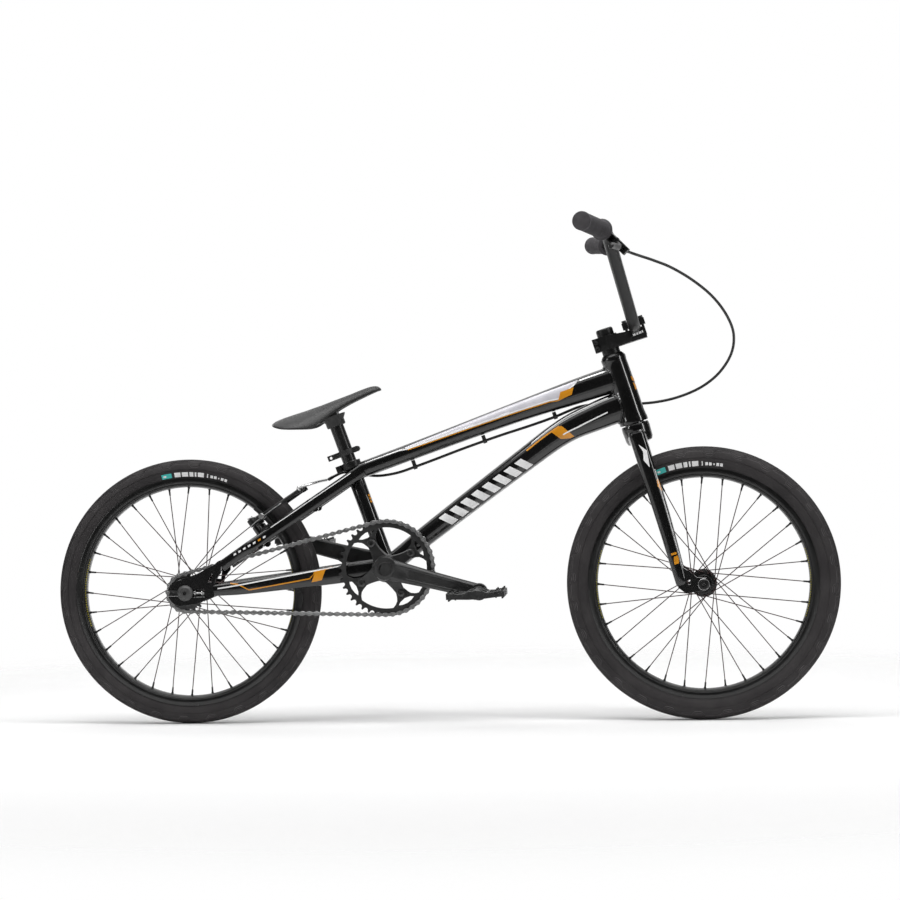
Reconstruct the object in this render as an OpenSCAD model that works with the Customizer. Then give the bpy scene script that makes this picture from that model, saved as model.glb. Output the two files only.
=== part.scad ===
/* [Wheels] */
// Distance between the two axles
wheelbase = 938; // [910:1:960]
// Radius of the rear tyre
rear_tyre_r = 242; // [240:0.5:244]
// Width of the rear tyre
rear_tyre_w = 38; // [36:1:40]
// Radius of the front tyre
front_tyre_r = 247.5; // [246:0.5:249]
// Width of the front tyre
front_tyre_w = 44; // [42:1:46]
// Spokes in each wheel
spoke_count = 32; // [32]
// Width of the gap between the rear dropouts
rear_gap = 110; // [108:1:112]
// Width of the gap between the fork dropouts
front_gap = 100; // [98:1:102]

/* [Frame] */
// Bottom bracket ahead of the rear axle
bb_x = 365.8; // [364:0.1:368]
// Bottom bracket height above the ground
bb_z = 283.1; // [280:0.1:286]
// Angle of the seat tube
seat_angle = 70.4; // [69:0.1:72]
// Angle of the steering axis
head_angle = 72.8; // [72:0.1:74]
// Length of the head tube
head_len = 126; // [120:1:130]
// Rake of the fork
fork_rake = 29.3; // [28:0.1:31]
// Front axle below the head tube, along the steering axis
fork_drop = 313.8; // [310:0.1:318]
// Height of the seat tube's top above the ground
seat_tube_top = 476; // [470:1:480]

/* [Bars] */
// Reach of the stem
stem_reach = 54; // [50:1:58]
// Overall width of the handlebar
bar_width = 720; // [700:1:740]
// Diameter of the handlebar tube
bar_d = 22.2; // [22:0.1:22.4]
// Diameter of the grips
grip_d = 32; // [30:1:34]
// Outer diameter of the brake cable
cable_d = 5; // [4:0.5:5]

/* [Drive] */
// Teeth of the chainring
ring_teeth = 42; // [42]
// Teeth of the rear cog
cog_teeth = 17; // [17]
// Pitch of the chain
pitch = 12.7; // [12.7]
// Links of the chain
chain_links = 88; // [88]
// Crank length
crank_len = 175; // [165:1:180]
// Right crank below the horizontal, degrees
crank_drop = 14.4; // [10:0.1:20]
// Distance of the chain from the centre plane
chain_line = 45; // [44:0.5:46]

/* [Hidden] */

$fn = 64;
eps = 0.01;
paint = "#101012";
black = "#1c1c1e";
steel = "#b8babd";
rubber = "#2b2b2d";

// Axles and the steering axis, in a frame whose origin is the ground below the rear axle
origin_x = (wheelbase + front_tyre_r - rear_tyre_r) / 2;
rear_z = rear_tyre_r;
lean = 90 - head_angle;
head_x = wheelbase - fork_rake * cos(lean) - fork_drop * sin(lean);
head_z = front_tyre_r - fork_rake * sin(lean) + fork_drop * cos(lean);

module place() {
    translate([-origin_x, 0, 0]) children();
}

// Steering frame: z up the steering axis from the bottom of the head tube, x forwards
module steer() {
    place() translate([head_x, 0, head_z]) rotate([0, -lean, 0]) children();
}

// Wheel frame: z towards the right side of the bicycle, y up
module wheel_at(x, z) {
    place() translate([x, 0, z]) rotate([90, 0, 0]) children();
}

// Bottom bracket frame, turned with the cranks: x along the right arm
module crank_frame() {
    wheel_at(bb_x, bb_z) rotate([0, 0, -crank_drop]) children();
}

function unit(v) = v / norm(v);

// Puts the x and z axes of its children on two square directions
module axes(o, ex, ez) {
    ey = cross(ez, ex);
    multmatrix([[ex[0], ey[0], ez[0], o[0]], [ex[1], ey[1], ez[1], o[1]], [ex[2], ey[2], ez[2], o[2]],
        [0, 0, 0, 1]]) children();
}

// Straight round bar from a to b
module rod(a, b, r1, r2) {
    v = unit(b - a);
    side = abs(v[1]) > 0.9 ? [1, 0, 0] : [0, 1, 0];
    axes(a, unit(cross(side, v)), v) cylinder(h = norm(b - a), r1 = r1, r2 = r2);
}

// Rounded outline of a tube: w across the bicycle, h in its plane
function tube_outline(w, h, e, n = 32) = [for (i = [0 : n - 1])
    let (a = i * 360 / n)
    [w / 2 * sign(cos(a)) * pow(abs(cos(a)), e), h / 2 * sign(sin(a)) * pow(abs(sin(a)), e)]];

// Thin slice of a tube at p = [x, y, z], square to a direction that rises by a degrees in the plane
module slice(p, a, w, h, e = 0.8) {
    axes(p, [0, 1, 0], [cos(a), 0, sin(a)]) linear_extrude(0.4) rotate([0, 0, 0])
        polygon([for (q = tube_outline(w, h, e)) [q[0], q[1]]]);
}

// Tube through a list of [x, y, z, angle, width, height], with its walls t thick
module formed_tube(stations, t) {
    difference() {
        union() {
            for (i = [0 : len(stations) - 2]) hull() {
                station_slice(stations[i], 0);
                station_slice(stations[i + 1], 0);
            }
        }
        for (i = [0 : len(stations) - 2]) hull() {
            station_slice(stations[i], t);
            station_slice(stations[i + 1], t);
        }
    }
}

module station_slice(s, t) {
    slice([s[0], s[1], s[2]], s[3], s[4] - 2 * t, s[5] - 2 * t);
}

module ring(r_out, r_in, h) {
    difference() {
        cylinder(h = h, r = r_out);
        translate([0, 0, -1]) cylinder(h = h + 2, r = r_in);
    }
}

// ---------------------------------------------------------------- frame
head_top_r = 22.3;
head_low_r = 26.5;
steerer_r = 14.3;
steerer_low_r = 18;
bearing_h = 7;
top_bearing_r = 18.5;
low_bearing_r = 23;

module head_tube() {
    color(paint) steer() rotate_extrude() polygon([
        [head_low_r - 0.8, 0], [head_low_r, 0.8], [head_low_r, 8], [head_low_r - 1, 9],
        [head_top_r, head_len - 9], [head_top_r + 0.8, head_len - 8], [head_top_r + 0.8, head_len - 0.8],
        [head_top_r, head_len], [top_bearing_r, head_len], [top_bearing_r, head_len - bearing_h],
        [17, head_len - bearing_h], [17, head_len - 14], [19.5, bearing_h + 10], [19.5, bearing_h],
        [low_bearing_r, bearing_h], [low_bearing_r, 0]]);
}

// Everything inside the head tube's outer wall, for the mitres of the two main tubes
module head_cut() {
    translate([head_x, 0, head_z]) rotate([0, -lean, 0]) translate([0, 0, -10])
        cylinder(h = head_len + 20, r1 = head_low_r + 0.35, r2 = head_top_r - 0.25);
}

seat_tube_r = 14.3;
post_r = 12.7;
bb_r = 21;
bb_half = 36.5;
function on_seat(z) = [bb_x - (z - bb_z) / tan(seat_angle), 0, z];

module seat_axis(z) {
    place() translate(on_seat(z)) rotate([0, seat_angle - 90, 0]) children();
}

module seat_cut(grow) {
    translate(on_seat(bb_z)) rotate([0, seat_angle - 90, 0]) cylinder(h = 260, r = seat_tube_r + grow);
    translate(on_seat(seat_tube_top - 13)) rotate([0, seat_angle - 90, 0]) translate([0, 0, 0.6])
        cylinder(h = 60, r = seat_tube_r + 4.9);
}

module top_tube() {
    stations = [[300, 0, 453.5, 19.6, 30, 30], [420, 0, 496.2, 19.6, 34, 31],
        [600, 0, 560.3, 19.4, 38, 37], [720, 0, 600, 17.5, 40, 46], [800, 0, 625, 17, 42, 50]];
    color(paint) place() difference() {
        formed_tube(stations, 1.6);
        head_cut();
        seat_cut(0.05);
    }
}

module down_tube() {
    stations = [[bb_x + 4, 0, bb_z + 4, 36.7, 46, 36], [438.7, 0, 341.5, 36.7, 44, 37],
        [623, 0, 479, 36.7, 46, 43], [692, 0, 527, 32, 46, 47], [760, 0, 557, 20, 44, 54],
        [800, 0, 571.5, 20, 44, 56]];
    color(paint) place() difference() {
        formed_tube(stations, 1.8);
        head_cut();
        top_tube_cut();
        bb_cut(bb_r + 0.05);
        seat_cut(0.05);
    }
}

// Room that the down tube leaves for the top tube where the two meet
module top_tube_cut() {
    hull() {
        slice([600, 0, 560.3], 19.4, 60, 37.2);
        slice([820, 0, 631], 17, 60, 51);
    }
}

module bb_cut(r) {
    translate([bb_x, 50, bb_z]) rotate([90, 0, 0]) cylinder(h = 100, r = r);
}

module seat_tube() {
    top = (seat_tube_top - bb_z) / sin(seat_angle);
    color(paint) place() difference() {
        translate(on_seat(bb_z)) rotate([0, seat_angle - 90, 0]) difference() {
            cylinder(h = top, r = seat_tube_r);
            translate([0, 0, -1]) cylinder(h = top + 2, r = post_r + 0.04);
        }
        bb_cut(bb_r + 0.05);
    }
}

module bb_shell() {
    color(paint) wheel_at(bb_x, bb_z) translate([0, 0, -bb_half]) ring(bb_r, 17.5, 2 * bb_half);
}

drop_t = 6;

// One chain stay with its dropout, on the right (s = -1) or the left (s = 1)
module chain_stay(s) {
    y0 = rear_gap / 2 + drop_t / 2;
    difference() {
        union() {
            hull() {
                slice([52, s * y0, 246], 7, 9, 20);
                slice([100, s * (y0 - 1), 250.5], 7, 14, 25);
            }
            hull() {
                slice([100, s * (y0 - 1), 250.5], 7, 14, 25);
                slice([262, s * 33, 270], 7, 15, 33);
            }
            hull() {
                slice([262, s * 33, 270], 7, 15, 33);
                slice([352, s * 28, 281], 6, 16, 34);
            }
        }
        bb_cut(bb_r + 0.05);
    }
    dropout(s);
}

axle_r = 5;

module dropout(s) {
    y = s > 0 ? rear_gap / 2 + drop_t : -rear_gap / 2;
    translate([0, y, rear_z]) rotate([90, 0, 0]) linear_extrude(drop_t) difference() {
        union() {
            translate([-8, 0]) circle(r = 24);
            polygon([[-8, -24], [50, -9], [52, 13], [66, 36], [66, 60], [52, 50], [-8, 24]]);
            translate([46, 2]) circle(r = 11);
        }
        translate([-60, -axle_r]) square([60, 2 * axle_r]);
        circle(r = axle_r + 0.1);
        translate([13, -7]) square([22, 14]);
        polygon([[41, 20], [50, 36], [48, 20]]);
    }
}

module chain_stays() {
    color(paint) place() for (s = [-1, 1]) chain_stay(s);
}

// Seat stay axis: x along it, upwards and forwards; the brake studs stand on its upper face
stay_rise = 33.8;
stay_dir = [cos(stay_rise), 0, sin(stay_rise)];
stud_dir = [-sin(stay_rise), 0, cos(stay_rise)];
stud_base = [139.8, 0, 342.7];
stud_y = 41;
stud_r = 4;
arm_offset = 24;

module seat_stay(s) {
    y0 = rear_gap / 2 + drop_t / 2;
    difference() {
        union() {
            hull() {
                slice([60, s * y0, 285.7], stay_rise, 9, 19);
                slice([118, s * 56.3, 324.5], stay_rise, 11, 20.5);
            }
            hull() {
                slice([118, s * 56.3, 324.5], stay_rise, 11, 20.5);
                slice([145, s * 45.5, 342.6], stay_rise, 13, 21.2);
            }
            hull() {
                slice([145, s * 45.5, 342.6], stay_rise, 13, 21.2);
                slice([225, s * 29, 396], stay_rise, 13, 23);
            }
            hull() {
                slice([225, s * 29, 396], stay_rise, 13, 23);
                slice([322, s * 18.5, 460.6], stay_rise, 11, 23);
            }
            translate([236, s * 26.7 - 4.5 * s, 391.5]) rotate([s * -90, 0, 0]) cylinder(h = 9, r = 5.5);
            translate([137, s * 48.7 - 4.5 * s, 325.5]) rotate([s * -90, 0, 0]) cylinder(h = 9, r = 5.5);
            translate([stud_base[0], s * stud_y, stud_base[2]]) rotate([0, -stay_rise, 0])
                cylinder(h = arm_offset - 1, r = 7);
            translate([stud_base[0], s * stud_y, stud_base[2]]) rotate([0, -stay_rise, 0])
                cylinder(h = arm_offset + 17, r = stud_r);
        }
        seat_cut(0.05);
        dropout_cut(s);
        hull() {
            slice([280, 0, 446.4], 19.6, 30.3, 30.3);
            slice([345, 0, 469.6], 19.6, 31.9, 30.8);
        }
    }
}

module dropout_cut(s) {
    translate([0, s * (rear_gap + drop_t) / 2 + 8, rear_z]) rotate([90, 0, 0])
        translate([40, 20, 0]) cube([26.05, 40, 16]);
}

module seat_stays() {
    color(paint) place() for (s = [-1, 1]) seat_stay(s);
}

module chain_tensioners() {
    color(steel) place() for (s = [-1, 1]) {
        translate([0, s * (rear_gap / 2 + drop_t / 2), rear_z]) rotate([0, 90, 0]) {
            translate([0, 0, 13.1]) cylinder(h = 21.8, r = 1.8);
            translate([0, 0, 13.1]) cylinder(h = 3.5, r = 2.9);
            translate([0, 0, 31.3]) cylinder(h = 3.5, r = 2.9);
        }
    }
}

// ---------------------------------------------------------------- brake cable
cable_r = cable_d / 2;
// Hand-set route of the housing, from the lever to the noodle behind the seat tube
cable_route = [[811, -205.6, 839.2], [817, -193, 836.8], [832, -180, 832], [855, -169, 824.5],
    [887, -152, 812], [925, -125, 790], [960, -92, 762],
    [985, -60, 730], [998, -28, 697], [994, 4, 662], [972, 26, 628], [940, 38, 603], [900, 42, 586],
    [860, 40, 577], [820, 37, 574], [780, 33, 575], [745, 29, 574], [718, 20, 570], [697, 5, 562],
    [674, 0, 552.5], [630, 0, 537.5], [580, 0, 522], [545, 0, 510.5], [500, 0, 495], [455, 0, 478.5],
    [417, 0, 465], [390, 5, 456], [366, 16, 451], [344, 28, 449], [322, 34, 451], [300, 34, 455],
    [282, 26, 456], [268, 12, 450], [258, 0, 444]];
// Places of the clips under the top tube
clip_route = [[674, 0, 552.5], [545, 0, 510.5], [417, 0, 465]];
// Distance from each clip's centre up to the tube
clip_reach = [9, 10.6, 12.6];

function route_dir(route, i) = unit(route[min(i + 1, len(route) - 1)] - route[max(i - 1, 0)]);

// Point number j of n on the smooth curve through the route
function smooth_point(route, i, t) =
    let (
        p0 = route[max(i - 1, 0)],
        p1 = route[i],
        p2 = route[min(i + 1, len(route) - 1)],
        p3 = route[min(i + 2, len(route) - 1)]
    )
    0.5 * (2 * p1 + (p2 - p0) * t + (2 * p0 - 5 * p1 + 4 * p2 - p3) * t * t
        + (3 * p1 - p0 - 3 * p2 + p3) * t * t * t);

function smooth_route(route, steps) = concat(
    [for (i = [0 : len(route) - 2]) for (k = [0 : steps - 1]) smooth_point(route, i, k / steps)],
    [route[len(route) - 1]]);

// Round tube of radius r swept along the points of a path, as one closed skin
module sweep(path, r, sides) {
    n = len(path);
    rings = [for (i = [0 : n - 1])
        let (
            v = route_dir(path, i),
            up = abs(v[2]) > 0.95 ? [1, 0, 0] : [0, 0, 1],
            a = unit(cross(up, v)),
            b = cross(v, a)
        )
        for (k = [0 : sides - 1]) path[i] + r * (cos(k * 360 / sides) * a + sin(k * 360 / sides) * b)];
    walls = [for (i = [0 : n - 2]) for (k = [0 : sides - 1])
        let (k2 = (k + 1) % sides)
        [i * sides + k, (i + 1) * sides + k, (i + 1) * sides + k2, i * sides + k2]];
    ends = [[for (k = [0 : sides - 1]) k], [for (k = [sides - 1 : -1 : 0]) (n - 1) * sides + k]];
    polyhedron(points = rings, faces = concat(walls, ends));
}

module brake_cable() {
    color(black) place() sweep(smooth_route(cable_route, 2), cable_r, 10);
}

module cable_guides() {
    color(black) place() for (i = [0 : 2]) {
        translate(clip_route[i]) rotate([0, 90 - 19.6, 0]) translate([0, 0, -3.5]) difference() {
            union() {
                cylinder(h = 7, r = cable_r + 2);
                translate([-clip_reach[i], -2, 0]) cube([clip_reach[i], 4, 7]);
            }
            translate([0, 0, -1]) cylinder(h = 9, r = cable_r + 0.5);
        }
    }
}

// ---------------------------------------------------------------- seat
module seat_clamp() {
    color(black) seat_axis(seat_tube_top - 13) difference() {
        union() {
            translate([0, 0, 1]) cylinder(h = 12, r = seat_tube_r + 4.5);
            translate([-28, -7, 1]) cube([14, 14, 12]);
        }
        translate([0, 0, -5]) cylinder(h = 30, r = seat_tube_r + 0.03);
        translate([-30, -1, -5]) cube([30, 2, 30]);
        translate([-22.6, 20, 7]) rotate([90, 0, 0]) cylinder(h = 40, r = 2.6);
    }
    color(steel) seat_axis(seat_tube_top - 13) translate([-22.6, 9.5, 7]) rotate([90, 0, 0]) {
        cylinder(h = 19, r = 2.5);
        translate([0, 0, 16.6]) cylinder(h = 5, r = 4.5);
    }
}

module seat_post() {
    color(paint) seat_axis(400) difference() {
        cylinder(h = (556 - 400) / sin(seat_angle), r = post_r);
        translate([0, 0, -1]) cylinder(h = (545 - 400) / sin(seat_angle), r = post_r - 2.2);
    }
}

seat_rise = 19.3;

module saddle() {
    color(rubber) place() difference() {
        union() {
            hull() {
                slice([160, 0, 543], seat_rise + 8, 74, 6, 0.7);
                slice([190, 0, 551], seat_rise + 2, 122, 20, 0.7);
            }
            hull() {
                slice([190, 0, 551], seat_rise + 2, 122, 20, 0.7);
                slice([225, 0, 561], seat_rise, 118, 24, 0.7);
            }
            hull() {
                slice([225, 0, 561], seat_rise, 118, 24, 0.7);
                slice([275, 0, 580], seat_rise, 58, 20, 0.7);
            }
            hull() {
                slice([275, 0, 580], seat_rise, 58, 20, 0.7);
                slice([345, 0, 605], seat_rise, 34, 13, 0.7);
            }
            hull() {
                slice([345, 0, 605], seat_rise, 34, 13, 0.7);
                slice([354.5, 0, 606.5], seat_rise, 22, 7, 0.7);
            }
        }
        translate([250, 0, 540]) rotate([0, -seat_rise, 0]) translate([0, 0, -14])
            cube([60, 44, 56], center = true);
    }
}

module saddle_base() {
    color(black) place() difference() {
        union() {
            translate([250, 0, 556]) rotate([0, -seat_rise, 0]) cube([56, 40, 14], center = true);
            translate(on_seat(549)) rotate([0, seat_angle - 90, 0]) translate([0, 0, -7])
                cylinder(h = 18, r = post_r + 5);
        }
        translate(on_seat(400)) rotate([0, seat_angle - 90, 0])
            cylinder(h = (556 - 400) / sin(seat_angle) + 0.05, r = post_r + 0.03);
    }
}

bracket_z = 492.7;
bracket_hole_r = 2.6;

module reflector_bracket() {
    color(black) seat_axis(bracket_z) difference() {
        union() {
            translate([0, 0, -5]) cylinder(h = 10, r = post_r + 3);
            translate([-36, -2, -5]) cube([22, 4, 10]);
            translate([14, -8, -5]) cube([7, 16, 10]);
            translate([21, 8, 0]) rotate([90, 0, 0]) cylinder(h = 16, r = 5);
        }
        translate([0, 0, -10]) cylinder(h = 20, r = post_r + 0.03);
        translate([12, -1, -10]) cube([20, 2, 20]);
        translate([-30, 10, 0]) rotate([90, 0, 0]) cylinder(h = 20, r = bracket_hole_r);
        translate([21, 20, 0]) rotate([90, 0, 0]) cylinder(h = 40, r = 2.1);
    }
    color(steel) seat_axis(bracket_z) translate([21, 10, 0]) rotate([90, 0, 0]) {
        cylinder(h = 20, r = 2.05);
        translate([0, 0, 18.1]) cylinder(h = 2.4, r = 3.8);
    }
}

// ---------------------------------------------------------------- bearings and rear axle
spindle_r = 12;
spindle_bore_r = 8.5;

module bottom_bearings() {
    color(steel) wheel_at(bb_x, bb_z) for (s = [-1, 1]) {
        translate([0, 0, s > 0 ? bb_half - 8 : -bb_half]) ring(17.45, spindle_r + 0.06, 8);
        translate([0, 0, s > 0 ? bb_half + eps : -bb_half - 2.5 - eps]) ring(20, spindle_r + 0.06, 2.5);
    }
}

module headset_bearings() {
    color(steel) steer() {
        translate([0, 0, head_len - bearing_h]) ring(top_bearing_r - 0.02, steerer_r + 0.06, bearing_h);
        ring(low_bearing_r - 0.02, steerer_low_r + 0.06, bearing_h);
    }
}

module axle_rod(half, r) {
    translate([0, 0, -half]) cylinder(h = 2 * half, r = r);
}

module rear_axle() {
    color(steel) wheel_at(0, rear_z) axle_rod(rear_gap / 2 + drop_t, axle_r);
    color(steel) wheel_at(0, rear_z) for (s = [-1, 1])
        translate([0, 0, s > 0 ? rear_gap / 2 - 5 : -rear_gap / 2]) ring(9, axle_r, 5);
}

bolt_r = 14.5;

// Domed axle bolt with a six-sided socket, its flange at z = 0
module domed_bolt(r, h) {
    difference() {
        rotate_extrude() polygon([[0, 0], [r, 0], [r, h * 0.3], [r * 0.93, h * 0.55], [r * 0.7, h * 0.85],
            [r * 0.4, h], [0, h]]);
        translate([0, 0, h * 0.35]) cylinder(h = h, r = 3.5, $fn = 6);
    }
}

module rear_axle_bolts() {
    color(black) wheel_at(0, rear_z) for (s = [0, 1]) rotate([0, 180 * s, 0])
        translate([0, 0, rear_gap / 2 + drop_t + eps]) domed_bolt(bolt_r, 9);
}

// ---------------------------------------------------------------- chain and sprockets
roller_r = 3.7;
ring_r = pitch / 2 / sin(180 / ring_teeth);
cog_r = pitch / 2 / sin(180 / cog_teeth);
centre_dist = norm([bb_x, bb_z - rear_z]);
centre_tilt = atan2(bb_z - rear_z, bb_x);
wrap_tilt = asin((ring_r - cog_r) / centre_dist);
run_len = centre_dist * cos(wrap_tilt);
ring_wrap = 180 + 2 * wrap_tilt;
cog_wrap = 180 - 2 * wrap_tilt;
// Path of the chain in pitches: round the ring from below, top run, round the cog, bottom run
u_ring = ring_wrap * ring_teeth / 360;
u_top = u_ring + run_len / pitch;
u_cog = u_top + cog_wrap * cog_teeth / 360;
ring_start = centre_tilt - 90 - wrap_tilt;
cog_start = centre_tilt + 90 + wrap_tilt;

function polar(r, a) = [r * cos(a), r * sin(a)];
function chain_point(u) =
    let (bb = [bb_x, bb_z - rear_z])
    u < u_ring ? bb + polar(ring_r, ring_start + u * 360 / ring_teeth)
    : u < u_top ? lerp2(bb + polar(ring_r, cog_start), polar(cog_r, cog_start),
        (u - u_ring) / (u_top - u_ring))
    : u < u_cog ? polar(cog_r, cog_start + (u - u_top) * 360 / cog_teeth)
    : lerp2(polar(cog_r, ring_start), bb + polar(ring_r, ring_start), (u - u_cog) / (chain_links - u_cog));
function lerp2(a, b, t) = a + (b - a) * t;

// Outline round both sprockets, grown by d from the chain's pitch line
module belt_outline(d) {
    bb = [bb_x, bb_z - rear_z];
    steps = 60;
    polygon(concat(
        [for (i = [0 : steps]) bb + polar(ring_r + d, ring_start + ring_wrap * i / steps)],
        [for (i = [0 : steps / 2]) polar(cog_r + d, cog_start + cog_wrap * 2 * i / steps)]));
}

module chain() {
    color("#8a8c90") wheel_at(0, rear_z) translate([0, 0, chain_line]) {
        for (z = [-4, 2.1]) translate([0, 0, z]) linear_extrude(1.9) difference() {
            belt_outline(4);
            belt_outline(-3.6);
        }
        for (k = [0 : chain_links - 1]) translate([chain_point(k)[0], chain_point(k)[1], -4.6])
            cylinder(h = 9.2, r = roller_r - 1.2, $fn = 24);
    }
}

// Toothed disc: gaps for the rollers on the pitch circle, the first at angle a
module sprocket(r, teeth, a, t, bore) {
    difference() {
        cylinder(h = t, r = r + 2.6, $fn = 128);
        for (k = [0 : teeth - 1]) rotate([0, 0, a + k * 360 / teeth]) translate([r, 0, -1]) {
            cylinder(h = t + 2, r = roller_r + 0.3, $fn = 24);
            translate([0, -roller_r + 0.5, 0]) cube([8, 2 * roller_r - 1, t + 2]);
        }
        translate([0, 0, -1]) cylinder(h = t + 2, r = bore);
    }
}

ring_t = 3;
bolt_circle_r = 52;
spider_t = 6.2;
spider_z = chain_line + ring_t / 2 + eps;

// Outline of one bolt tab, which widens into two struts outside the bolt
tab_half = [[44, 7], [50, 9.5], [56, 11.5], [61.5, 14.5], [66, 20.5], [68.4, 27], [75, 29]];
tab_window = [[69.7, 16.1], [72.6, 9], [73.8, 0], [72.6, -9], [69.7, -16.1], [66.2, -10.5], [64, 0],
    [66.2, 10.5]];

module chainring_tab() {
    half = [for (p = tab_half) [p[0], -p[1]]];
    linear_extrude(ring_t) difference() {
        polygon(concat(half, [for (i = [len(tab_half) - 1 : -1 : 0]) tab_half[i]]));
        polygon(tab_window);
        translate([bolt_circle_r, 0]) circle(r = 4.05);
    }
}

module chainring() {
    color(black) wheel_at(bb_x, bb_z) translate([0, 0, chain_line - ring_t / 2]) difference() {
        union() {
            sprocket(ring_r, ring_teeth, ring_start, ring_t, 73.5);
            for (k = [0 : 3]) rotate([0, 0, 45 - crank_drop + 90 * k]) chainring_tab();
        }
        for (k = [0 : 3]) rotate([0, 0, 45 - crank_drop + 90 * k]) translate([0, 0, -1])
            linear_extrude(ring_t + 2) polygon(tab_window);
    }
}

module chainring_bolts() {
    color(steel) crank_frame() for (k = [0 : 3]) rotate([0, 0, 45 + 90 * k])
        translate([bolt_circle_r, 0, chain_line - ring_t / 2 - 2]) {
            translate([0, 0, -eps]) cylinder(h = 2, r = 6.5);
            cylinder(h = spider_t + 6, r = 4);
            difference() {
                translate([0, 0, spider_t + 5.03]) cylinder(h = 2.5, r = 6.5);
                translate([0, 0, spider_t + 6.2]) cylinder(h = 4, r = 3, $fn = 6);
            }
        }
}

arm_in = 60;
arm_out = 78;
pedal_flare = 4;

module crank_arm(tip_r) {
    difference() {
        union() {
            translate([0, 0, arm_in]) cylinder(h = arm_out - arm_in, r = 21.5);
            hull() {
                translate([0, 0, arm_in + 1]) cylinder(h = arm_out - arm_in - 2, r = 18.7, $fn = 32);
                translate([90, 0, arm_in + 3]) cylinder(h = 14, r = 15.5, $fn = 32);
            }
            hull() {
                translate([90, 0, arm_in + 3]) cylinder(h = 14, r = 15.5, $fn = 32);
                translate([crank_len, 0, arm_in + 5]) cylinder(h = 14, r = tip_r, $fn = 32);
            }
            translate([crank_len, 0, arm_in + pedal_flare]) cylinder(h = 16, r = tip_r + 1.5);
        }
        translate([crank_len, 0, 0]) cylinder(h = 120, r = 7.05);
        translate([0, 0, 0]) cylinder(h = 120, r = spindle_bore_r);
    }
}

module crank_arm_right() {
    color(black) crank_frame() {
        difference() {
            union() {
                crank_arm(14);
                translate([0, 0, -arm_in + 0.5]) cylinder(h = 2 * arm_in, r = spindle_r);
                translate([0, 0, bb_half + 3.5]) cylinder(h = arm_in - bb_half, r = 19);
                for (k = [0 : 3]) rotate([0, 0, 45 + 90 * k]) translate([0, 0, spider_z]) hull() {
                    translate([14, 0, 0]) cylinder(h = 9.5, r = 14, $fn = 32);
                    translate([bolt_circle_r, 0, 0]) cylinder(h = 3, r = 8, $fn = 32);
                }
                for (k = [0 : 3]) rotate([0, 0, 45 + 90 * k]) translate([bolt_circle_r, 0, spider_z])
                    cylinder(h = spider_t, r = 8);
            }
            translate([0, 0, -90]) cylinder(h = 200, r = spindle_bore_r);
            translate([crank_len, 0, 0]) cylinder(h = 120, r = 7.05);
            for (k = [0 : 3]) rotate([0, 0, 45 + 90 * k]) translate([bolt_circle_r, 0, 0])
                cylinder(h = 120, r = 4.05);
        }
    }
}

module crank_arm_left() {
    color(black) crank_frame() rotate([180, 0, 180]) difference() {
        union() {
            crank_arm(14);
            translate([0, 0, bb_half + 3.5]) cylinder(h = arm_in - bb_half, r = 17);
        }
        translate([0, 0, 0]) cylinder(h = arm_in, r = spindle_r + 0.02);
        translate([0, 0, 0]) cylinder(h = 120, r = spindle_bore_r);
    }
}

pedal_in = 88;
pedal_w = 95;
pedal_l = 104;
pedal_t = 17;
pedal_spindle_r = 7;

module on_pedal_axis(s) {
    crank_frame() rotate([s > 0 ? 0 : 180, 0, s > 0 ? 0 : 180]) translate([crank_len, 0, 0]) children();
}

module pedal_spindles() {
    color(steel) for (s = [1, -1]) on_pedal_axis(s) {
        translate([0, 0, arm_in + 4]) cylinder(h = 17, r = pedal_spindle_r);
        translate([0, 0, arm_in + 20.2]) cylinder(h = 3.5, r = 9);
        translate([0, 0, arm_in + 20]) cylinder(h = pedal_in + pedal_w - arm_in - 26, r = 6);
    }
}

// Platform pedal, level with a slight rise to the front, its length along x
module pedal(s) {
    tilt = s > 0 ? crank_drop + 3 : -crank_drop + 3;
    color(black) on_pedal_axis(s) rotate([0, 0, tilt]) difference() {
        union() {
            translate([0, 0, pedal_in]) cylinder(h = pedal_w, r = pedal_t / 2);
            translate([-8, -pedal_t / 2 + 1, pedal_in]) cube([16, pedal_t - 2, pedal_w]);
            difference() {
                translate([-pedal_l / 2, -6, pedal_in]) cube([pedal_l, 12, pedal_w]);
                for (x = [-43, 12]) for (k = [0, 1]) translate([x, -10, pedal_in + 9 + 41 * k])
                    cube([31, 20, 35]);
            }
            for (x = [-1, 1]) for (k = [0 : 2])
                translate([x * (pedal_l / 2 - 5), -9, pedal_in + 8 + 38 * k]) rotate([-90, 0, 0])
                    cylinder(h = 18, r = 2, $fn = 16);
        }
        translate([0, 0, pedal_in - 1]) cylinder(h = pedal_w - 4, r = 6.06);
    }
}

module pedal_right() {
    pedal(1);
}

module pedal_left() {
    pedal(-1);
}

module rear_cog() {
    phase = cog_start + (ceil(u_top) - u_top) * 360 / cog_teeth;
    color(steel) wheel_at(0, rear_z) {
        translate([0, 0, chain_line - 1.5]) sprocket(cog_r, cog_teeth, phase, 3, 13.06);
        translate([0, 0, chain_line - 6]) ring(20, 13.06, 12);
    }
}

// ---------------------------------------------------------------- wheels
rim_in_r = 191;
rim_out_r = 209;
bead_r = 203;
rim_half = 15;

// The valve sits between two spokes, at an angle counted from the front of the wheel
front_valve_a = 118.125;
rear_valve_a = 39.375;

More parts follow.
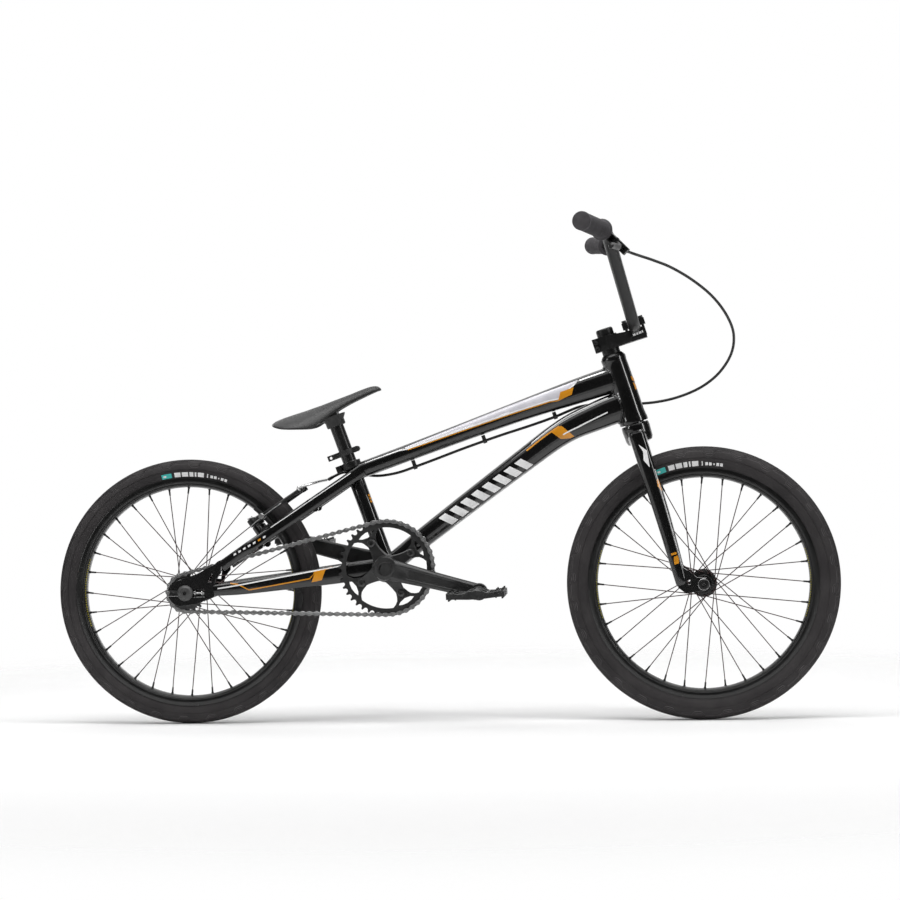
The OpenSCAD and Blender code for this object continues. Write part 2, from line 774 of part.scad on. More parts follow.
module wheel_rim(valve_a) {
    color(black) difference() {
        rotate_extrude($fn = 128) difference() {
            polygon([[rim_in_r, -7], [195, -14.5], [196, -rim_half], [rim_out_r, -rim_half],
                [rim_out_r, -13], [bead_r, -12.4], [200.5, -5], [200.5, 5], [bead_r, 12.4], [rim_out_r, 13],
                [rim_out_r, rim_half], [196, rim_half], [195, 14.5], [rim_in_r, 7]]);
            polygon([[193, -6.2], [196.4, -12.8], [200.8, -11.6], [198.6, -4.6], [198.6, 4.6],
                [200.8, 11.6], [196.4, 12.8], [193, 6.2]]);
        }
        rotate([0, 0, valve_a]) translate([180, 0, 0]) rotate([0, 90, 0]) cylinder(h = 40, r = 3.4);
    }
}

module tyre_ring(outer_r, w) {
    section_r = (outer_r - bead_r - 0.3) / 2;
    mid_r = outer_r - section_r;
    color(rubber) rotate_extrude($fn = 128) difference() {
        translate([mid_r, 0]) circle(r = section_r);
        translate([mid_r, 0]) circle(r = section_r - 3);
        translate([bead_r - 5, 12.6]) square([rim_out_r + 0.2 - bead_r + 5, 20]);
        translate([bead_r - 5, -32.6]) square([rim_out_r + 0.2 - bead_r + 5, 20]);
        translate([bead_r - 5, -8]) square([10, 16]);
    }
}

module wheel_inner_tube(outer_r, valve_a) {
    section_r = (outer_r - bead_r - 0.3) / 2;
    color("#202022") {
        rotate_extrude($fn = 128) translate([outer_r - section_r, 0]) difference() {
            circle(r = section_r - 3.2);
            circle(r = section_r - 4.4);
        }
        rotate([0, 0, valve_a]) translate([164, 0, 0]) rotate([0, 90, 0])
            cylinder(h = outer_r - 2 * section_r + 3.6 - 164, r = 3.1);
    }
}

spoke_r = 0.9;
nipple_r = 2;

// One spoke with its nipple, from the hub flange to the rim
module wheel_spoke(flange_z, flange_hole_r, a, turn, head) {
    hub = [flange_hole_r * cos(a), flange_hole_r * sin(a), flange_z + head];
    b = a + turn;
    rim_z = sign(flange_z) * 2.5;
    rim = [(rim_in_r - 0.15) * cos(b), (rim_in_r - 0.15) * sin(b), rim_z];
    inner = rim + unit(hub - rim) * 11;
    rod(hub, rim, spoke_r, spoke_r);
    rod(rim, inner, nipple_r, nipple_r * 0.8);
}

module wheel_spokes(right_z, left_z, flange_hole_r) {
    step = 360 / (spoke_count / 2);
    color("#2a2020") for (side = [0, 1]) for (k = [0 : spoke_count / 2 - 1])
        wheel_spoke(side == 0 ? right_z : -left_z, flange_hole_r, k * step + side * step / 2,
            (k % 2 == 0 ? 3 : -3) * step, (k % 2 == 0 ? 1 : -1) * 3.7);
}

// Hub shell with two flanges, turned about z
module hub_shell(right_z, left_z, flange_r, body_r, half, bearing_r) {
    flange_t = 3;
    color(black) rotate_extrude() polygon([
        [body_r * 0.62, -left_z + 6], [body_r * 0.62, right_z - 6], [bearing_r, right_z - 6],
        [bearing_r, half], [bearing_r + 3, half], [bearing_r + 3, right_z + flange_t / 2],
        [flange_r, right_z + flange_t / 2], [flange_r, right_z - flange_t / 2],
        [body_r + 3, right_z - flange_t / 2], [body_r, right_z - 10], [body_r, -left_z + 10],
        [body_r + 3, -left_z + flange_t / 2], [flange_r, -left_z + flange_t / 2],
        [flange_r, -left_z - flange_t / 2], [bearing_r + 3, -left_z - flange_t / 2],
        [bearing_r + 3, -left_z - 6], [bearing_r, -left_z - 6], [bearing_r, -left_z + 6]]);
}

front_flange_z = 30;
front_flange_r = 24;
rear_right_z = 27;
rear_left_z = 33;
rear_flange_r = 27;
hub_bearing_r = 13;

module at_front() {
    wheel_at(wheelbase, front_tyre_r) children();
}

module at_rear() {
    wheel_at(0, rear_z) children();
}

module front_tyre() {
    at_front() tyre_ring(front_tyre_r, front_tyre_w);
}

module rear_tyre() {
    at_rear() tyre_ring(rear_tyre_r, rear_tyre_w);
}

module front_inner_tube() {
    at_front() wheel_inner_tube(front_tyre_r, front_valve_a);
}

module rear_inner_tube() {
    at_rear() wheel_inner_tube(rear_tyre_r, rear_valve_a);
}

module front_rim() {
    at_front() wheel_rim(front_valve_a);
}

module rear_rim() {
    at_rear() wheel_rim(rear_valve_a);
}

module front_spokes() {
    at_front() wheel_spokes(front_flange_z, front_flange_z, front_flange_r - 3);
}

module rear_spokes() {
    at_rear() wheel_spokes(rear_right_z, rear_left_z, rear_flange_r - 3);
}

module front_hub() {
    at_front() hub_shell(front_flange_z, front_flange_z, front_flange_r, 12, 36, hub_bearing_r);
}

module rear_hub() {
    at_rear() {
        hub_shell(rear_right_z, rear_left_z, rear_flange_r, 16, 33, hub_bearing_r);
    }
}

module bearing_pair(right_z, left_z) {
    color(steel) for (z = [right_z, -left_z - 6]) translate([0, 0, z])
        ring(hub_bearing_r - 0.02, axle_r + 0.06, 6);
}

module front_hub_bearings() {
    at_front() bearing_pair(front_flange_z - 6, front_flange_z);
}

module rear_hub_bearings() {
    at_rear() bearing_pair(rear_right_z - 6, rear_left_z - 0);
}

// ---------------------------------------------------------------- fork
crown_z = -8;

module fork_steerer() {
    color(paint) steer() difference() {
        union() {
            rotate_extrude() polygon([[0, crown_z - 30], [17, crown_z - 30], [24, crown_z - 24],
                [26, crown_z], [24, -1.5], [steerer_low_r, -1.5], [steerer_low_r, bearing_h + 3],
                [steerer_r, bearing_h + 16], [steerer_r, 165], [0, 165]]);
            hull() for (s = [-1, 1]) translate([-2, s * 30, crown_z - 23]) rotate([0, 90, 0])
                translate([0, 0, -12]) cylinder(h = 24, r = 10, $fn = 32);
        }
        translate([0, 0, crown_z - 40]) cylinder(h = 240, r = 11);
        for (s = [-1, 1]) leg_cut(s);
    }
}

leg_top = -34;
leg_low = -300;

// Solid of one leg, used for the leg itself and for its seat in the crown
module leg_cut(s) {
    hull() {
        axes([-2, s * 38, leg_top + 14], [1, 0, 0], [0, 0, 1]) linear_extrude(0.4)
            polygon(tube_outline(29, 21, 0.9));
        axes([-3, s * 45, -160], [1, 0, 0], [0, 0, 1]) linear_extrude(0.4)
            polygon(tube_outline(27, 19, 0.9));
    }
}

module fork_leg(s) {
    difference() {
        union() {
            leg_cut(s);
            hull() {
                axes([-3, s * 45, -160], [1, 0, 0], [0, 0, 1]) linear_extrude(0.4)
                    polygon(tube_outline(27, 19, 0.9));
                axes([-8, s * (front_gap / 2 + 3), leg_low], [1, 0, 0], [0, 0, 1]) linear_extrude(0.4)
                    polygon(tube_outline(20, 12, 0.9));
            }
        }
    }
    fork_dropout(s);
}

module fork_dropout(s) {
    y = s > 0 ? front_gap / 2 + drop_t : -front_gap / 2;
    translate([0, y, -fork_drop]) rotate([90, 0, 0]) linear_extrude(drop_t) difference() {
        union() {
            polygon([[-15, 40], [-16, 8], [-6, -6], [fork_rake, -12.5], [fork_rake, 12.5], [4, 40]]);
            translate([fork_rake, 0]) circle(r = 13);
        }
        translate([fork_rake, 0]) circle(r = axle_r + 0.1);
        translate([fork_rake, 0]) rotate([0, 0, -75]) translate([0, -axle_r]) square([30, 2 * axle_r]);
        translate([6, 12]) circle(r = 4.5);
    }
}

module fork_legs() {
    color(paint) steer() for (s = [-1, 1]) fork_leg(s);
}

module front_axle() {
    color(steel) at_front() {
        axle_rod(front_gap / 2 + drop_t + 7, axle_r);
        for (z = [-front_gap / 2, front_gap / 2 - 6]) translate([0, 0, z]) ring(8.5, axle_r, 6);
    }
}

module front_axle_bolts() {
    color(black) at_front() for (s = [0, 1]) rotate([0, 180 * s, 0])
        translate([0, 0, front_gap / 2 + drop_t + eps]) {
            ring(10.5, axle_r + 0.02, 1.6);
            translate([0, 0, 1.6]) difference() {
                cylinder(h = 9, r = 8.7, $fn = 6);
                translate([0, 0, -1]) cylinder(h = 20, r = axle_r + 0.02);
            }
        }
}

// ---------------------------------------------------------------- stem and bars
stem_z = 141.2;
bar_z = 164.7;
bar_r = bar_d / 2;
stem_half = 23;

module headset_spacers() {
    color(black) steer() {
        translate([0, 0, head_len + 0.3]) difference() {
            cylinder(h = 5.7, r1 = 21.5, r2 = 18);
            translate([0, 0, -1]) cylinder(h = 8, r = steerer_r + 0.03);
        }
        translate([0, 0, head_len + 6]) ring(16.3, steerer_r + 0.03, stem_z - head_len - 6);
    }
}

module stem() {
    color(black) steer() difference() {
        union() {
            translate([0, 0, stem_z]) cylinder(h = 25.5, r = 19.4);
            translate([-27, -15, stem_z]) cube([20, 30, 25.5]);
            translate([-15, -19, stem_z]) cube([16, 38, 25.5]);
            hull() {
                translate([0, -19, stem_z]) cube([1, 38, 25.5]);
                translate([34, -stem_half, stem_z]) cube([1, 2 * stem_half, 21]);
            }
            translate([34, -stem_half, stem_z]) cube([37, 2 * stem_half, 21]);
        }
        translate([0, 0, stem_z - 1]) cylinder(h = 40, r = steerer_r + 0.03);
        translate([-40, -1, stem_z - 1]) cube([40, 2, 40]);
        translate([stem_reach, 40, bar_z]) rotate([90, 0, 0]) cylinder(h = 80, r = bar_r + 0.03);
        for (z = [7, 18.5]) translate([-21.5, 30, stem_z + z]) rotate([90, 0, 0])
            cylinder(h = 60, r = 2.6);
        for (x = [-1, 1]) for (y = [-1, 1]) translate([stem_reach + x * 15.5, y * 15, stem_z + 4])
            cylinder(h = 40, r = 2.6);
        translate([8, -11, stem_z - 1]) cube([20, 22, 6]);
    }
}

module stem_clamp_plate() {
    color(black) steer() difference() {
        translate([stem_reach - 21, -stem_half, bar_z + 1.2]) cube([42, 2 * stem_half, 11.5]);
        translate([stem_reach, 40, bar_z]) rotate([90, 0, 0]) cylinder(h = 80, r = bar_r + 0.03);
        for (x = [-1, 1]) for (y = [-1, 1]) translate([stem_reach + x * 15.5, y * 15, bar_z - 5])
            cylinder(h = 40, r = 2.6);
    }
}

module stem_bolt(len, r) {
    difference() {
        union() {
            cylinder(h = len, r = 2.55);
            translate([0, 0, len]) cylinder(h = 4.5, r = r);
        }
        translate([0, 0, len + 2]) cylinder(h = 5, r = 2.2, $fn = 6);
    }
}

module stem_bolts() {
    upright = bar_z + 12.7 + eps - stem_z - 5;
    color(steel) steer() {
        for (x = [-1, 1]) for (y = [-1, 1]) translate([stem_reach + x * 15.5, y * 15, stem_z + 5])
            stem_bolt(upright, 4.2);
        for (z = [7, 18.5]) translate([-21.5, 14.5, stem_z + z]) rotate([90, 0, 0])
            stem_bolt(29.5 + eps, 4.2);
    }
}

module stem_cap() {
    color(black) steer() translate([0, 0, stem_z + 25.5 + eps]) difference() {
        rotate_extrude() polygon([[0, 0], [15.6, 0], [15.6, 11.5], [14, 13.5], [0, 13.5]]);
        translate([0, 0, 8]) cylinder(h = 10, r = 3.6);
    }
}

// Corners of the bar's centre line: clamp bend, top bend and end, in the steering frame
bar_low = [stem_reach, 48, bar_z];
bar_top = [60, 199, 332];
bar_end = [24.8, bar_width / 2 - 4.1, 353.1];
cross_f = 0.56;

function mirror_y(p) = [p[0], -p[1], p[2]];
// Rounded corner at b between a and c: n points of a smooth arc that starts d before b
function corner(a, b, c, d, n) = [for (i = [0 : n])
    let (t = i / n, p = b + unit(a - b) * d, q = b + unit(c - b) * d)
    (1 - t) * (1 - t) * p + 2 * t * (1 - t) * b + t * t * q];
bar_side = concat([[stem_reach, 0, bar_z]], corner([stem_reach, 0, bar_z], bar_low, bar_top, 20, 3),
    corner(bar_low, bar_top, bar_end, 16, 3), [bar_end - unit(bar_end - bar_top) * 3]);

bar_half = len(bar_side);
bar_path = concat([for (i = [bar_half - 1 : -1 : 1]) mirror_y(bar_side[i])], bar_side);

module handlebar() {
    cross = bar_low + (bar_top - bar_low) * cross_f;
    color(paint) steer() {
        sweep(bar_path, bar_r, 32);
        rod(mirror_y(cross), cross, 7.5, 7.5);
    }
}

grip_len = 132;

module grips() {
    dir = unit(bar_end - bar_top);
    start = bar_end - dir * grip_len;
    color(rubber) steer() for (m = [-1, 1]) {
        a = m > 0 ? start : mirror_y(start);
        d = m > 0 ? dir : mirror_y(dir);
        axes(a, unit(cross([0, 0, 1], d)), d) difference() {
            union() {
                cylinder(h = 4, r = grip_d / 2 + 3);
                cylinder(h = grip_len - 1, r = grip_d / 2 - 1);
                for (k = [0 : 12]) translate([0, 0, 9 + 9 * k]) cylinder(h = 5, r = grip_d / 2);
                translate([0, 0, grip_len - 8]) cylinder(h = 8, r = grip_d / 2 + 0.5);
            }
            translate([0, 0, -1]) cylinder(h = grip_len - 2 + 0.05, r = bar_r + 0.03);
        }
    }
}

// Lever frame: x out along the right grip, z from the bar towards the lever
lever_x = mirror_y(unit(bar_end - bar_top));
lever_at = mirror_y(bar_top) + lever_x * 22;
lever_z = unit([0.476, 0, -0.851] - lever_x * (([0.476, 0, -0.851]) * lever_x));
pivot_z = 30;

module lever_frame() {
    steer() axes(lever_at, lever_x, lever_z) children();
}

module lever_bracket() {
    color(black) lever_frame() {
        difference() {
            union() {
                translate([-6, 0, 0]) rotate([0, 90, 0]) cylinder(h = 12, r = bar_r + 4);
                translate([-6, -7, 8]) cube([12, 14, 12]);
                for (y = [-7, 4.4]) hull() {
                    translate([0, y, pivot_z]) rotate([-90, 0, 0]) cylinder(h = 2.6, r = 7, $fn = 32);
                    translate([-6, y, 14]) cube([12, 2.6, 2]);
                }
                translate([-11, -7, 40]) cube([10, 14, 16]);
                translate([-11, -7, 16]) cube([4, 14, 30]);
                translate([-9, -7, 16]) cube([6, 14, 4]);
            }
            translate([-20, 0, 0]) rotate([0, 90, 0]) cylinder(h = 40, r = bar_r + 0.03);
            translate([0, 20, pivot_z]) rotate([90, 0, 0]) cylinder(h = 40, r = 2.5);
            translate([0, 0, 49]) rotate([0, 90, 0]) translate([0, 0, -20]) cylinder(h = 40, r = 3.3);
        }
        translate([0, 8.5, pivot_z]) rotate([90, 0, 0]) cylinder(h = 17, r = 2.46);
    }
}

module barrel_adjuster() {
    color(black) lever_frame() translate([-11, 0, 49]) rotate([0, -90, 0]) difference() {
        union() {
            translate([0, 0, -9]) cylinder(h = 10, r = 3.2);
            cylinder(h = 3, r = 5.5);
            translate([0, 0, 3]) cylinder(h = 11, r1 = 5.2, r2 = 4);
        }
        translate([0, 0, -12]) cylinder(h = 50, r = 2.55);
    }
}

module brake_lever() {
    color(black) lever_frame() difference() {
        union() {
            translate([0, -4, pivot_z]) rotate([-90, 0, 0]) cylinder(h = 8, r = 6.5);
            hull() {
                translate([0, -4, pivot_z]) rotate([-90, 0, 0]) cylinder(h = 8, r = 5.5, $fn = 32);
                translate([30, -4.5, pivot_z + 20]) rotate([-90, 0, 0]) cylinder(h = 9, r = 5, $fn = 32);
            }
            hull() {
                translate([30, -4.5, pivot_z + 20]) rotate([-90, 0, 0]) cylinder(h = 9, r = 5, $fn = 32);
                translate([88, -5, pivot_z + 24]) rotate([-90, 0, 0]) cylinder(h = 10, r = 4.5, $fn = 32);
            }
            hull() {
                translate([88, -5, pivot_z + 24]) rotate([-90, 0, 0]) cylinder(h = 10, r = 4.5, $fn = 32);
                translate([102, -5, pivot_z + 30]) rotate([-90, 0, 0]) cylinder(h = 10, r = 4.5, $fn = 32);
            }
        }
        translate([0, 20, pivot_z]) rotate([90, 0, 0]) cylinder(h = 40, r = 2.52);
    }
}

// ---------------------------------------------------------------- rear brake
// Arm frame: x up along the seat stay, z out along the stud
module arm_frame(s) {
    place() translate([stud_base[0], s * stud_y, stud_base[2]]) rotate([0, -stay_rise, 0]) children();
}

arm_len = 104;
// Height of the pad's post above the stud
post_x = 21;
tip_shift = 7;

module brake_arm(s) {
    color(black) arm_frame(s) {
        difference() {
            union() {
                translate([0, 0, arm_offset]) cylinder(h = 14, r = 8);
                hull() {
                    translate([0, s * 1, arm_offset + 2]) cylinder(h = 10, r = 6.5, $fn = 32);
                    translate([50, s * 4, arm_offset + 3]) cylinder(h = 8, r = 6, $fn = 32);
                }
                hull() {
                    translate([50, s * 4, arm_offset + 3]) cylinder(h = 8, r = 6, $fn = 32);
                    translate([arm_len, -s * tip_shift, arm_offset + 3]) cylinder(h = 8, r = 5, $fn = 32);
                }
            }
            translate([0, 0, arm_offset - 5]) cylinder(h = 40, r = stud_r + 0.05);
            translate([post_x, s * 40, arm_offset + 7]) rotate([s * 90, 0, 0]) cylinder(h = 80, r = 3.1);
            translate([arm_len, 0, arm_offset + 7]) rotate([90, 0, 0]) translate([0, 0, -40])
                cylinder(h = 80, r = 2.9);
        }
    }
}

module brake_arm_right() {
    brake_arm(-1);
}

module brake_arm_left() {
    brake_arm(1);
}

// Pad block along the rim with its threaded post through the arm
module brake_pad(s) {
    gap = 2;
    a = 43.3;
    pad_z = s < 0 ? rim_half + gap : -rim_half - gap - 9;
    color(rubber) at_rear() rotate([0, 0, a - 7.5]) translate([0, 0, pad_z])
        rotate_extrude(angle = 15, $fn = 128) translate([192, 0]) square([8, 9]);
    color(steel) arm_frame(s) translate([post_x, 0, arm_offset + 7]) rotate([s * 90, 0, 0]) {
        translate([0, 0, -13]) cylinder(h = stud_y - rim_half - gap - 9 + 13.2, r = 3);
        translate([0, 0, 6.5]) cylinder(h = 3, r = 6.5);
        translate([0, 0, -14.5]) cylinder(h = 4.5, r = 5.5, $fn = 6);
    }
}

module brake_pad_right() {
    brake_pad(-1);
}

module brake_pad_left() {
    brake_pad(1);
}

tip = stud_base + stay_dir * arm_len + stud_dir * (arm_offset + 7);
noodle_r = 2.4;
// Bent tube from the housing's end round the right arm's tip, then across to its middle
noodle_route = [[254.5, -3, 443.4], [247, -15, 441.8], [238, -28, 439.5], [226, -40, 436],
    [214, -47, 432.5], [207, -48, 430.5], [tip[0], -44, tip[2]], [tip[0], -38, tip[2]],
    [tip[0], -28, tip[2]]];

module brake_noodle() {
    color(steel) place() sweep(smooth_route(noodle_route, 2), noodle_r, 12);
}

module brake_wire() {
    color(steel) place() {
        translate([tip[0], 46, tip[2]]) rotate([90, 0, 0]) cylinder(h = 46 + 16.8, r = 0.8);
        translate([tip[0], 45, tip[2]]) rotate([90, 0, 0]) cylinder(h = 4, r = 3);
    }
}

head_tube();
top_tube();
down_tube();
seat_tube();
bb_shell();
chain_stays();
seat_stays();
chain_tensioners();
cable_guides();
seat_clamp();
seat_post();
saddle();
saddle_base();
reflector_bracket();
bottom_bearings();
headset_bearings();
brake_cable();
rear_axle();
rear_axle_bolts();
chain();
fork_steerer();
fork_legs();
stem();
stem_clamp_plate();
stem_bolts();
headset_spacers();
stem_cap();
handlebar();
grips();
lever_bracket();
barrel_adjuster();
front_axle();
front_axle_bolts();
brake_lever();
brake_arm_right();
brake_arm_left();
brake_pad_right();
brake_pad_left();
brake_noodle();
brake_wire();
front_tyre();
front_inner_tube();
front_rim();
front_hub();
front_spokes();
front_hub_bearings();
rear_tyre();
rear_inner_tube();
rear_rim();
rear_hub();
rear_spokes();
rear_hub_bearings();
rear_cog();
crank_arm_right();
crank_arm_left();
chainring();
chainring_bolts();
pedal_spindles();
pedal_right();
pedal_left();
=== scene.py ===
from math import asin, atan2, ceil, copysign, cos, dist, hypot, pi, sin, sqrt, tan
from math import radians as RAD

import bmesh
import bpy
from mathutils import Matrix, Vector, geometry


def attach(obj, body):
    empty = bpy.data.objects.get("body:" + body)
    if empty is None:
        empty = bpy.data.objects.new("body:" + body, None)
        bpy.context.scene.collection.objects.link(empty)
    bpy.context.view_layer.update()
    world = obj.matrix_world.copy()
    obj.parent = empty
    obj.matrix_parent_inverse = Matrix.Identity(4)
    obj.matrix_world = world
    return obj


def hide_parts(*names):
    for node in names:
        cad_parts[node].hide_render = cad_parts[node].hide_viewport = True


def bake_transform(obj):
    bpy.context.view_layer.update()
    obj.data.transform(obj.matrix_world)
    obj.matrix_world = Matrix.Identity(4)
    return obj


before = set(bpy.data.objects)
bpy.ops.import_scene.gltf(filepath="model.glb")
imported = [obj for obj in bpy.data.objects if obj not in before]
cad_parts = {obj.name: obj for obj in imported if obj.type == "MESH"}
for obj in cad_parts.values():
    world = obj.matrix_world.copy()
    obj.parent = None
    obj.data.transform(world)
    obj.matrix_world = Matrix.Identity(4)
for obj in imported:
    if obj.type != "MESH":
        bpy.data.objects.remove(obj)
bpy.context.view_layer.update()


# ------------------------------------------------------------ frames, all in mm before they are placed
def move(x, y, z):
    return Matrix.Translation((x, y, z))


def rot(axis, degrees):
    return Matrix.Rotation(RAD(degrees), 4, axis)


WHEELBASE, REAR_R, FRONT_R = 938, 242, 247.5
OX = (WHEELBASE + FRONT_R - REAR_R) / 2
LEAN = RAD(17.2)
FORK_RAKE, FORK_LEN = 29.3, 313.8
HEAD_X = WHEELBASE - FORK_RAKE * cos(LEAN) - FORK_LEN * sin(LEAN)
HEAD_Z = FRONT_R - FORK_RAKE * sin(LEAN) + FORK_LEN * cos(LEAN)
PLACE = Matrix.Scale(0.001, 4) @ move(-OX, 0, 0)
STEER = PLACE @ move(HEAD_X, 0, HEAD_Z) @ Matrix.Rotation(-LEAN, 4, "Y")


def wheel_at(x, z):
    return PLACE @ move(x, 0, z) @ rot("X", 90)


BB_X, BB_Z = 365.8, 283.1
REAR, FRONT, BB = wheel_at(0, REAR_R), wheel_at(WHEELBASE, FRONT_R), wheel_at(BB_X, BB_Z)
CRANK_A = 14.4
CRANK = BB @ rot("Z", -CRANK_A)
SEAT_A = RAD(70.4)


def seat_at(z):
    """Frame on the seat tube's centre line at height z."""
    return PLACE @ move(BB_X - (z - BB_Z) / tan(SEAT_A), 0, z) @ Matrix.Rotation(SEAT_A - RAD(90), 4, "Y")


def axes(o, ex, ez):
    """Frame at o with its z axis along ez and its x axis towards ex."""
    ez = Vector(ez).normalized()
    ex = (Vector(ex) - ez * Vector(ex).dot(ez)).normalized()
    ey = ez.cross(ex)
    m = Matrix.Identity(4)
    for i, c in enumerate((ex, ey, ez, Vector(o))):
        for j in range(3):
            m[j][i] = c[j]
    return m


def polar(r, a):
    return (r * cos(a), r * sin(a))


def turns(n):
    """n angles all round, in radians."""
    return [2 * pi * k / n for k in range(n)]


def arc(r, degrees, x=0):
    """Points round (x, 0) at a list of angles."""
    return [(x + r * cos(RAD(a)), r * sin(RAD(a))) for a in degrees]


# ------------------------------------------------------------ materials
def add_node(tree, kind, **inputs):
    """New shader node; an input's name has _ for each space."""
    node = tree.nodes.new("ShaderNode" + kind)
    set_inputs(node, **inputs)
    return node


def set_inputs(node, **inputs):
    for key, value in inputs.items():
        node.inputs[key.replace("_", " ")].default_value = value


def new_material(name):
    """Material with nodes, its tree and its shader."""
    m = bpy.data.materials.new(name)
    m.use_nodes = True
    return m, m.node_tree, m.node_tree.nodes["Principled BSDF"]


ROUGH_VARIES = 0.08


def material(name, dark, light, rough, scale, metal=0, coat=0, coat_rough=0.05, bump=0, bump_scale=1500,
             sheen=0, spec=0.5):
    """Colour and roughness vary with one noise; a finer one makes the bumps."""
    m, tree, shader = new_material(name)
    set_inputs(shader, Metallic=metal, Coat_Weight=coat, Coat_Roughness=coat_rough, Sheen_Weight=sheen,
               Specular_IOR_Level=spec)
    where = add_node(tree, "TexCoord")
    noise = add_node(tree, "TexNoise", Scale=scale, Detail=5)
    ramp = add_node(tree, "ValToRGB")
    for stop, at, color in zip(ramp.color_ramp.elements, (0.35, 0.68), (dark, light)):
        stop.position, stop.color = at, (*color, 1)
    span = add_node(tree, "MapRange", To_Min=rough - ROUGH_VARIES, To_Max=rough + ROUGH_VARIES)
    links = [(where, "Object", noise, "Vector"), (noise, "Fac", ramp, "Fac"),
             (ramp, "Color", shader, "Base Color"), (noise, "Fac", span, "Value"),
             (span, "Result", shader, "Roughness")]
    if bump:
        fine = add_node(tree, "TexNoise", Scale=bump_scale, Detail=3)
        relief = add_node(tree, "Bump", Strength=bump, Distance=0.0004)
        links += [(where, "Object", fine, "Vector"), (fine, "Fac", relief, "Height"),
                  (relief, "Normal", shader, "Normal")]
    join(tree, links)
    return m


def join(tree, links):
    for a, out, b, into in links:
        tree.links.new(a.outputs[out], b.inputs[into])


def gray(v):
    return (v, v, v)


PAINT = material("gloss_black_paint", gray(0.003), gray(0.006), 0.22, coat=1.0, coat_rough=0.03, scale=8,
                 spec=0.3)
BAR = material("satin_black_paint", gray(0.006), gray(0.01), 0.34, coat=0.3, coat_rough=0.2, scale=14,
               spec=0.3)
ANOD = material("black_anodised", gray(0.008), gray(0.016), 0.36, metal=0.35, scale=60, bump=0.15)
RIM = material("rim_black", gray(0.007), gray(0.013), 0.3, metal=0.3, coat=0.5, coat_rough=0.15, scale=30)
CRANK_M = material("crank_satin", gray(0.03), gray(0.046), 0.36, metal=0.4, scale=50, bump=0.1)
RING_M = material("chainring_black", gray(0.012), gray(0.02), 0.5, scale=70, bump=0.1)
PLASTIC = material("moulded_black", gray(0.012), gray(0.02), 0.5, scale=90, bump=0.25)
PEDAL_M = material("pedal_nylon", gray(0.01), gray(0.02), 0.45, scale=90, bump=0.3)
STEEL = material("plain_steel", gray(0.42), gray(0.62), 0.3, metal=1.0, scale=120, bump=0.1)
DARK_STEEL = material("dark_steel", gray(0.06), gray(0.1), 0.38, metal=0.9, scale=120, bump=0.1)
SILVER = material("noodle_silver", gray(0.6), gray(0.75), 0.25, metal=1.0, scale=200)
CHAIN_M = material("chain_grey", gray(0.24), gray(0.38), 0.34, metal=0.85, scale=220, bump=0.1)
BOLT = material("bolt_grey", gray(0.06), gray(0.085), 0.45, metal=0.3, scale=120, bump=0.1)
CABLE = material("cable_black", gray(0.006), gray(0.012), 0.4, scale=50, bump=0.1)
SADDLE = material("saddle_cover", gray(0.01), gray(0.015), 0.4, coat=0.1, coat_rough=0.35, scale=60,
                  bump=0.5, bump_scale=2200, sheen=0.12, spec=0.4)
GRIP = material("grip_rubber", (0.042, 0.039, 0.043), (0.062, 0.058, 0.063), 0.7, scale=80, bump=0.5)
RUBBER = material("brake_rubber", gray(0.015), gray(0.025), 0.75, scale=80, bump=0.4)
TYRE = material("tyre_rubber", (0.026, 0.0235, 0.0245), (0.04, 0.0365, 0.0375), 0.7, scale=26, bump=0.5,
                bump_scale=2500, spec=0.3)
# the lighter grey of the tread lines is a painted highlight: it stands in for the groove edges catching the
# light
TREAD_HIGHLIGHT = material("tread_painted_highlight", (0.1, 0.094, 0.096), (0.14, 0.132, 0.134), 0.6, scale=26, bump=0.5,
                      bump_scale=2500, spec=0.3)
TUBE = material("butyl_rubber", gray(0.014), gray(0.02), 0.7, scale=60, bump=0.3)
SPOKE = material("spoke_brown", (0.052, 0.031, 0.03), (0.082, 0.05, 0.048), 0.4, metal=0.4, scale=150)
# this white is printed ink on most marks, and a painted highlight on the two long lines along the down tube
WHITE = material("white_print_and_painted_highlight", gray(0.86), gray(0.93), 0.35, coat=0.6, coat_rough=0.05, scale=30)
SILVER_INK = material("decal_silver", (0.55, 0.54, 0.58), (0.66, 0.65, 0.7), 0.35, coat=0.6, scale=30)
ORANGE = material("decal_orange", (0.62, 0.24, 0.006), (0.72, 0.29, 0.01), 0.35, coat=0.6, coat_rough=0.05,
                  scale=30)
TEAL = material("decal_teal", (0.03, 0.45, 0.42), (0.05, 0.55, 0.5), 0.5, scale=30)
LIME = material("decal_lime", (0.24, 0.21, 0.012), (0.32, 0.28, 0.02), 0.5, scale=30)
TYRE_INK = material("tyre_ink", gray(0.8), gray(0.9), 0.6, scale=60)


# ------------------------------------------------------------ mesh helpers
SHARP_EDGE = 38


def add_object(name, data, body=None, nodes=()):
    """Puts data into the scene, makes it ride on a body and stand for CAD nodes."""
    o = bpy.data.objects.new(name, data)
    bpy.context.scene.collection.objects.link(o)
    if body:
        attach(o, body)
    if nodes:
        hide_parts(*nodes)
    return o


